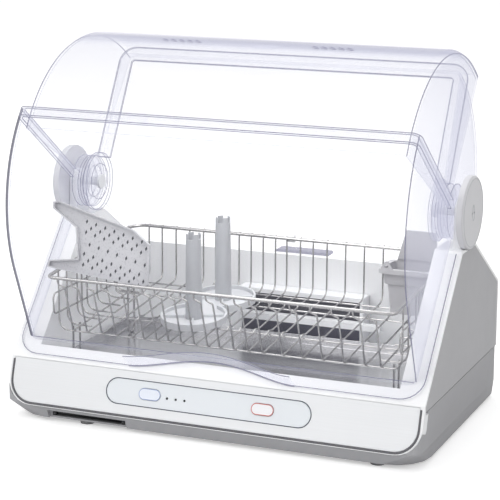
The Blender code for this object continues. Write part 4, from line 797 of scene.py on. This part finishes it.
# %% [markdown]
# The wire basket
# The basket is bent from drawn wire. Every floor wire is one length that starts at the front rim,
# steps sideways under it, runs down, turns along the floor and climbs to a small hook over the
# back rim. A curve with a round bevel makes such a wire, if its bends have real radii.
# %% Bending a wire
def bent(points, bend=0.006, steps=5):
    """A route with an arc in place of each of its corners."""
    route = [Vector(points[0])]
    for before, here, after in zip(points, points[1:], points[2:]):
        before, here, after = Vector(before), Vector(here), Vector(after)
        to_before, to_after = before - here, after - here
        half = to_before.angle(to_after) / 2
        reach = min(bend / math.tan(half), to_before.length * 0.49, to_after.length * 0.49)
        radius = reach * math.tan(half)
        centre = here + (to_before.normalized() + to_after.normalized()).normalized() * (
            radius / math.sin(half))
        start = here + to_before.normalized() * reach - centre
        end = here + to_after.normalized() * reach - centre
        turn = start.angle(end)
        axis = start.cross(end)
        for step in range(steps + 1):
            route.append(centre + Matrix.Rotation(turn * step / steps, 3, axis) @ start)
    route.append(Vector(points[-1]))
    return route


# %% [markdown]
# The basket's side view is four points: the front rim and foot, and the back foot and rim. The
# floor slopes a little towards the front, so that water runs down to the drain tray.
# %% Basket sizes
basket_half = 0.2050
front_rim = Vector((0, y0 - 0.1350, 0.1610))
front_foot = Vector((0, y0 - 0.1130, 0.0950))
back_foot = Vector((0, y0 + 0.0850, 0.1120))
back_rim = Vector((0, y0 + 0.0850, 0.1765))
front_rise = (front_rim - front_foot).normalized()
floor_run = (back_foot - front_foot).normalized()
wire_radius, rim_radius, leg_radius = 0.0010, 0.0020, 0.0012


def floor_at(y):
    """The floor's point straight below a place, counted from the hinge line."""
    return front_foot + floor_run * ((y0 + y - front_foot.y) / floor_run.y)


def rim_at(y):
    """The rim's point at a place, counted from the hinge line."""
    share = (y0 + y - front_rim.y) / (back_rim.y - front_rim.y)
    return front_rim.lerp(back_rim, share)


print("the basket is", round(2000 * basket_half), "mm wide and its floor runs",
      round(1000 * (back_foot - front_foot).length), "mm back")

# %% [markdown]
# The long wires aren't evenly spaced: they stand closer at the left, so their places are shares
# of the basket's half width. Each rises twice in a low hump, where a plate's edge can rest.
# %% Long wires
wire_shares = (-0.900, -0.814, -0.723, -0.635, -0.545, -0.466, -0.388, -0.316, -0.240, -0.164,
               -0.087, -0.016, 0.068, 0.147, 0.232, 0.345, 0.458, 0.571, 0.689, 0.806, 0.894)
aside, stub_length, jog_drop = Vector((-0.0073, 0, 0)), 0.0085, 0.0035
hump = Vector((0, 0, 0.0030))
humps = ((-0.0600, -0.0530, -0.0440), (0.0340, 0.0420, 0.0520))    # start, crest and end of each
hook = (Vector((0, 0.0006, -0.0040)), Vector((0, 0.0026, 0.0022)), Vector((0, 0.0052, -0.0008)))
jog_bend, floor_bend, back_bend = 0.0022, 0.0035, 0.0110


def long_wire(here):
    """One wire of the basket, from the front rim to its hook over the back rim."""
    stub = here + front_rim - front_rise * stub_length
    low, back = here + front_foot, here + back_foot
    jog = bent([here + front_rim + aside, stub + aside, stub - front_rise * jog_drop, low],
               jog_bend, 3)[:-1]
    floor = [stub.lerp(low, 0.3), low]
    for start, crest, end in humps:
        floor += [here + floor_at(start), here + floor_at(crest) + hump, here + floor_at(end)]
    climb = [here + floor_at(0.0600), back] + [here + back_rim + step for step in hook]
    return (jog + bent(floor + [back], floor_bend, 4)[1:-1]
            + bent(climb, back_bend, 6)[1:])


long_wires = [long_wire(Vector((share * basket_half, 0, 0))) for share in wire_shares]
wires("basket_long_wires", long_wires, wire_radius, wire_steel,
      ("basket_front", "basket_back", "basket_floor"))
print(len(long_wires), "long wires of", len(long_wires[0]), "points")

# %% [markdown]
# A thick wire closed in a loop makes the rim. Thinner wires cross under the floor and climb the
# ends, a flat loop stiffens each end, and legs stand on the drain tray.
# %% Basket rim and cross wires
rim_front_corner, rim_back_corner = 0.0090, 0.0200
rim_outline = rounded([(-basket_half, front_rim.y, rim_front_corner),
                       (basket_half, front_rim.y, rim_front_corner),
                       (basket_half, back_rim.y, rim_back_corner),
                       (-basket_half, back_rim.y, rim_back_corner)], 8)
rim = [Vector((u, 0, 0)) + rim_at(v - y0) for u, v in rim_outline]
wires("basket_rim", [rim], rim_radius, wire_steel, closed=True, sides=4)
under = Vector((0, 0, -2 * wire_radius))
ends = [Vector((side * basket_half, 0, 0)) for side in (-1, 1)]
cross_bend, cross_places = 0.0120, (-0.1080, -0.0530, 0.0300, 0.0700)
climb_first, climb_pitch, climbs, climb_share = -0.1130, 0.0245, 7, 0.85
cross = []
for y in cross_places:
    low, high = floor_at(y) + under, rim_at(y)
    cross.append(bent([ends[0] + high, ends[0] + low, ends[1] + low, ends[1] + high], cross_bend))
for step in range(1, climbs + 1):
    y = climb_first + climb_pitch * step
    low, high = floor_at(y) + under, rim_at(y)
    cross += [bent([end + high, end + low, end * climb_share + low], cross_bend) for end in ends]
wires("basket_cross_wires", cross, wire_radius, wire_steel, ("basket_left", "basket_right"))
print(len(cross), "cross wires and a rim of", len(rim), "points")

# %% [markdown]
# The end loops lie against the climbing wires, outside them. Each leg is a short wire bent into a
# U that stands on the drain tray.
# %% End loops, legs and clip
loop_outline = rectangle(-0.1190, 0.1135, 0.0450, 0.1375, 0.0060)
leg_places, leg_inset, leg_half, leg_level = (-0.0900, 0.0500), 0.0120, 0.0080, 0.0506
leg_top, leg_sink, leg_bend = 0.0010, 0.0020, 0.0050
loops, legs = [], []
for side in (-1, 1):
    loops.append([Vector((side * (basket_half + wire_radius), y0 + v, w)) for v, w in loop_outline])
    for y in leg_places:
        top = floor_at(y) + Vector((side * (basket_half - leg_inset), 0, -leg_sink))
        near, far = (Vector((0, way * leg_half, 0)) for way in (-1, 1))
        foot, lift = Vector((top.x, top.y, leg_level)), Vector((0, 0, leg_top))
        legs.append(bent([top + near + lift, foot + near, foot + far, top + far + lift], leg_bend))
wires("basket_side_loops", loops, wire_radius, wire_steel, closed=True)
wires("basket_legs", legs, leg_radius, wire_steel)
soften("basket_clip", white, 0.0006)
print(len(loops), "end loops and", len(legs), "legs")

# %% [markdown]
# Housing and fittings
# These CAD solids already have the right shape. A merged copy gets round edges and smooth curves,
# and a finish of its own, and stands for the node it was copied from.
# %% Softened housing
for node, finish, edge in (
        ("upper_shell", white, 0.0010), ("lower_base", base_grey, 0.0010),
        ("side_panel_left", grey, 0.0005), ("side_panel_right", grey, 0.0005),
        ("front_panel", silver, 0.0005), ("control_plate", pill_blue, 0.0004),
        ("hinge_cap_left", cap_grey, 0.0008), ("hinge_cap_right", cap_grey, 0.0008),
        ("drain_tray", tray_steel, 0.0003), ("cup_stand", stand_grey, 0.0005),
        ("cup_tube_front", tube_grey, 0.0004), ("cup_tube_rear", tube_grey, 0.0004),
        ("cutlery_holder", holder_grey, 0.0006), ("side_tray", speckle, 0.0),
        ("timer_button", button_blue, 0.0003), ("power_button", button_white, 0.0003),
        ("drip_tray", tray_black, 0.0006), ("air_outlet", outlet_white, 0.0004),
        ("cord_gland", rubber, 0.0004)):
    piece = soften(node, finish, edge)
    print(node, len(piece.data.polygons), "faces")

# %% [markdown]
# The air outlet's two openings are dark: a fine gauze stands behind each of them.
# %% Outlet gauze
outlet_left, outlet_right, shade_backing_y, shade_backing_thick = -0.0650, 0.0900, 0.0918, 0.0006
opening_height, shade_backing_margin = 0.0225, 0.0008
shade_backing_view = view_place((0, y0 + shade_backing_y, 0), (1, 0, 0), (0, 0, 1))
for name, low, finish in (("upper", 0.0830, painted_shade_black), ("lower", 0.0505, painted_shade_violet)):
    sheet = rectangle(outlet_left, low - shade_backing_margin, outlet_right,
                      low + opening_height + shade_backing_margin)
    finish_piece(f"outlet_painted_shade_{name}", slab(sheet, 0, shade_backing_thick, shade_backing_view), finish)
    print("the", name, "painted_shade_sheet starts", round(1000 * low, 1), "mm above the table")

# %% [markdown]
# The side tray is a shallow pan with rows of diamond slots, every other row set off by half a
# pitch. The CAD solid has the slots, but the pale pieces behind them would show through. A slim
# dark plug stands in each one as painted shade, as dark as the shade in a real slot.
# %% Side tray's slots
tray_lean, tray_tip = math.radians(5.8), math.radians(90 - 19.8)
tray_place = (Matrix.Translation((-basket_half - 0.0112, y0 - 0.1271, 0.1711))
              @ Matrix.Rotation(tray_lean, 4, "Y") @ Matrix.Rotation(tray_tip, 4, "X"))
slot_rows, slots_each_row = (0, 1, 2, 4, 6, 7, 8), 7    # two rows are left out
slot_start, slot_step = Vector((0.0443, 0.0591)), Vector((0.0118, -0.0016))
row_step = Vector((0.0009, -0.0060))
slot_half_width, slot_half_height, shade_plug_low, shade_plug_high = 0.0014, 0.0027, -0.0001, 0.0017
diamond = [Vector((-slot_half_width, 0)), Vector((0, -slot_half_height)),
           Vector((slot_half_width, 0)), Vector((0, slot_half_height))]
slot_shade_plugs = []
for number, row in enumerate(slot_rows):
    for column in range(slots_each_row):
        centre = slot_start + slot_step * (column + (number % 2) / 2) + row_step * row
        slot_shade_plugs.append(slab([centre + corner for corner in diamond], shade_plug_low, shade_plug_high,
                          tray_place))
slot_count = len(slot_shade_plugs)
finish_piece("side_tray_slots", gathered(slot_shade_plugs), painted_shade_black, nodes["side_tray"]["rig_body"])
print(slot_count, "dark slots in the side tray")

# %% [markdown]
# Thin printed and moulded lines give the fascia its scale: a line round the control plate and a
# coloured ring on each button. Under the silver strip, a dark line is painted shadow in the gap.
# A line is a wire half sunk.
# %% Lines on the fascia
fascia_tilt, fascia_low = math.radians(17.9), 0.0190
fascia_length = (ledge_low - fascia_low) / math.cos(fascia_tilt)
fascia_view = view_place((0, y0 - ledge_front - fascia_length * math.sin(fascia_tilt), fascia_low),
                         (1, 0, 0), (0, math.sin(fascia_tilt), math.cos(fascia_tilt)))
controls = fascia_length / 2 + 0.0022
button_half, button_half_height, button_level = 0.0126, 0.0058, 0.0008
groove_half, groove_low, groove_high, groove_corner = 0.2402, 0.0020, 0.0500, 0.0265


def drawn(name, outline, level, radius, finish, closed=True, body="body"):
    """A thin line on the fascia."""
    wires(name, [laid(fascia_view, outline, level)], radius, finish, body=body, closed=closed,
          sides=2)


def pill(middle, half, half_height):
    """The outline of a button, or of the plate behind them all."""
    return rectangle(middle - half, controls - half_height, middle + half,
                     controls + half_height, half_height, 10)


drawn("pill_line", pill(0, 0.1210, 0.0142), 0.0, 0.00055, ink)
for name, middle, radius, finish in (("timer", -0.0680, 0.0003, line_blue),
                                     ("power", 0.0655, 0.0004, line_red)):
    drawn(f"{name}_line", pill(middle, button_half, button_half_height), button_level, radius,
          finish, body=nodes[f"{name}_button"]["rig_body"])
# the dark line under the silver strip is painted shadow in the gap
groove = rounded([(-groove_half, groove_high, 0), (-groove_half, groove_low, groove_corner),
                  (groove_half, groove_low, groove_corner), (groove_half, groove_high, 0)], 12)
drawn("panel_gap_shadow", groove, 0.0, 0.0012, gap_shadow_grey, closed=False)
print("the fascia is", round(1000 * fascia_length, 1), "mm long up its slope")

# %% [markdown]
# The cup stand's two dishes are stiffened by low ribs like the spokes of a wheel, four to each.
# They turn with the stand, which sits a little askew on the basket's floor.
# %% Ribs of the cup stand
stand_x, stand_y, dish_offset = -0.0628, -0.0085, 0.0345
stand_turn, rib_first = math.radians(-5.4), math.radians(25)
rib_inner, rib_outer, rib_half, rib_low, rib_high = 0.0112, 0.0360, 0.0009, 0.0034, 0.0068
stand_seat = floor_at(stand_y) + Vector((stand_x, 0, wire_radius + seat_gap))
stand_view = view_place(stand_seat, (1, 0, 0), floor_run) @ Matrix.Rotation(stand_turn, 4, "Z")
rib = rectangle(rib_inner, -rib_half, rib_outer, rib_half)
ribs = [slab(rib, rib_low, rib_high, stand_view @ Matrix.Translation((0, side * dish_offset, 0))
             @ Matrix.Rotation(rib_first + math.pi / 2 * quarter, 4, "Z"))
        for side in (-1, 1) for quarter in range(4)]
rib_count = len(ribs)
finish_piece("cup_stand_ribs", gathered(ribs), stand_grey, rounding=0.0003)
print(rib_count, "ribs on the cup stand")

# %% [markdown]
# Each hinge cap has a moulded ring near its edge and a small upright oval at its middle. Both
# are thin lines that lie on the cap's face.
# %% Rings on the caps
cap_face, cap_line_sizes = 0.2474, ((0.0372, 0.0372), (0.0040, 0.0085))
cap_lines = [ring(side * cap_face, across, high)
             for side in (-1, 1) for across, high in cap_line_sizes]
wires("cap_rings", cap_lines, thin, tube_grey, closed=True)
print(len(cap_lines), "rings on the two caps")

# %% [markdown]
# What is left of the CAD model is small or hidden: the fan and its duct, the heater, the feet and
# the screws. These nodes keep their own meshes and only get a finish.
# %% Plain finishes for what stays
plain = {"fan_housing": duct_grey, "fan_wheel": fan_black, "fan_motor": pin_steel, "heater": coil,
         "intake_filter": fan_black, "control_board": board, "hinge_pin_left": stand_grey,
         "hinge_pin_right": stand_grey}
plain.update({f"lamp_{number}": lens for number in (1, 2, 3)})
plain.update({f"foot_{number}": rubber for number in (1, 2, 3, 4)})
plain.update({f"base_screw_{number}": pin_steel for number in (1, 2, 3, 4)})
for node, finish in plain.items():
    nodes[node].material_slots[0].material = finish
print(len(plain), "CAD nodes keep their shape")

# %% [markdown]
# Floor and sky
# The floor and the sky are white. The floor keeps a faint shadow: part of its white is its own
# light for the camera, a little more of it far away, and the rest is what the lamps give. The sky
# is full white where the eye sees it, straight on or in a reflection, and dimmer as a light.
# %% Floor and sky
floor_mesh = bpy.data.meshes.new("studio_floor")
shape = bmesh.new()
bmesh.ops.create_grid(shape, x_segments=1, y_segments=1, size=6.0)
shape.to_mesh(floor_mesh)
shape.free()
floor = bpy.data.objects.new("studio_floor", floor_mesh)
scene.collection.objects.link(floor)
near_glow, far_glow, glow_from, glow_to = (0.44,) * 3, (0.53,) * 3, 0.6, 2.0
paper = Finish("studio_paper", Base_Color=(0.82, 0.82, 0.82), Roughness=0.9)
rays = paper.node("LightPath", output="Is Camera Ray")
away = paper.node("VectorMath", {0: paper.place()}, output="Value", operation="LENGTH")
far = paper.node("MapRange", {"Value": away, "From Min": glow_from, "From Max": glow_to},
                 output="Result")
paper.feed(Emission_Color=paper.mix(rays, (0, 0, 0), paper.mix(far, near_glow, far_glow)),
           Emission_Strength=1.0)
floor_mesh.materials.append(paper.material)

seen_sky, lit_sky = 1.0, 0.55
world = bpy.data.worlds.new("studio_sky")
scene.world = world
world.use_nodes = True
sky = Graph(world.node_tree)
eye, mirror, glass = (sky.node("LightPath", output=f"Is {kind} Ray")
                      for kind in ("Camera", "Glossy", "Transmission"))
seen = sky.maths("MAXIMUM", sky.maths("MAXIMUM", eye, mirror), glass)
background = world.node_tree.nodes["Background"]
sky.put(background.inputs["Strength"], seen * (seen_sky - lit_sky) + lit_sky)
sky.put(background.inputs["Color"], (1, 1, 1))
print("the sky is", seen_sky, "to the eye and", lit_sky, "as a light")

# %% [markdown]
# Light and camera
# Large soft lamps stand in front, at both sides and above, as in a product photograph, and a
# small one lights the inside of the hood. The camera was solved from pairs that are alike at both
# ends of the dryer: the caps, the basket's corners and the panel's corners.
# %% Lamps and camera
def lamp(name, place, target, size, power):
    light = bpy.data.lights.new(name, "AREA")
    light.size = size
    light.energy = power
    holder = bpy.data.objects.new(name, light)
    holder.location = place
    holder.rotation_euler = (Vector(target) - Vector(place)).to_track_quat("-Z", "Y").to_euler()
    holder.visible_camera = False
    scene.collection.objects.link(holder)


lamp("key_light", (-1.3, -1.5, 1.9), (0, 0, 0.2), 1.6, 22)
lamp("fill_light", (1.6, -1.2, 1.2), (0, 0, 0.2), 1.4, 9)
lamp("low_light", (-0.4, -2.0, 0.25), (0, 0, 0.05), 1.0, 2.6)
lamp("top_light", (0.1, 0.6, 2.2), (0, 0, 0.2), 1.6, 14)
lamp("inner_light", (0.0, -0.03, 0.39), (0, 0.10, 0.10), 0.25, 0.6)

camera_place, camera_looks = (0.77195, -1.85262, 0.66188), Vector((-0.37750, 0.89668, -0.23121))
camera_data = bpy.data.cameras.new("camera")
camera_data.sensor_width = 36
camera_data.lens = 131.16
camera_data.clip_end = 50
camera = bpy.data.objects.new("camera", camera_data)
camera.location = camera_place
camera.rotation_euler = camera_looks.to_track_quat("-Z", "Y").to_euler()
scene.collection.objects.link(camera)
scene.camera = camera
scene.view_settings.view_transform = "Standard"
scene.cycles.transparent_max_bounces = 32    # clear walls lie many deep at the hubs
print(len(bpy.data.lights), "lamps, and a lens of", camera_data.lens, "mm")
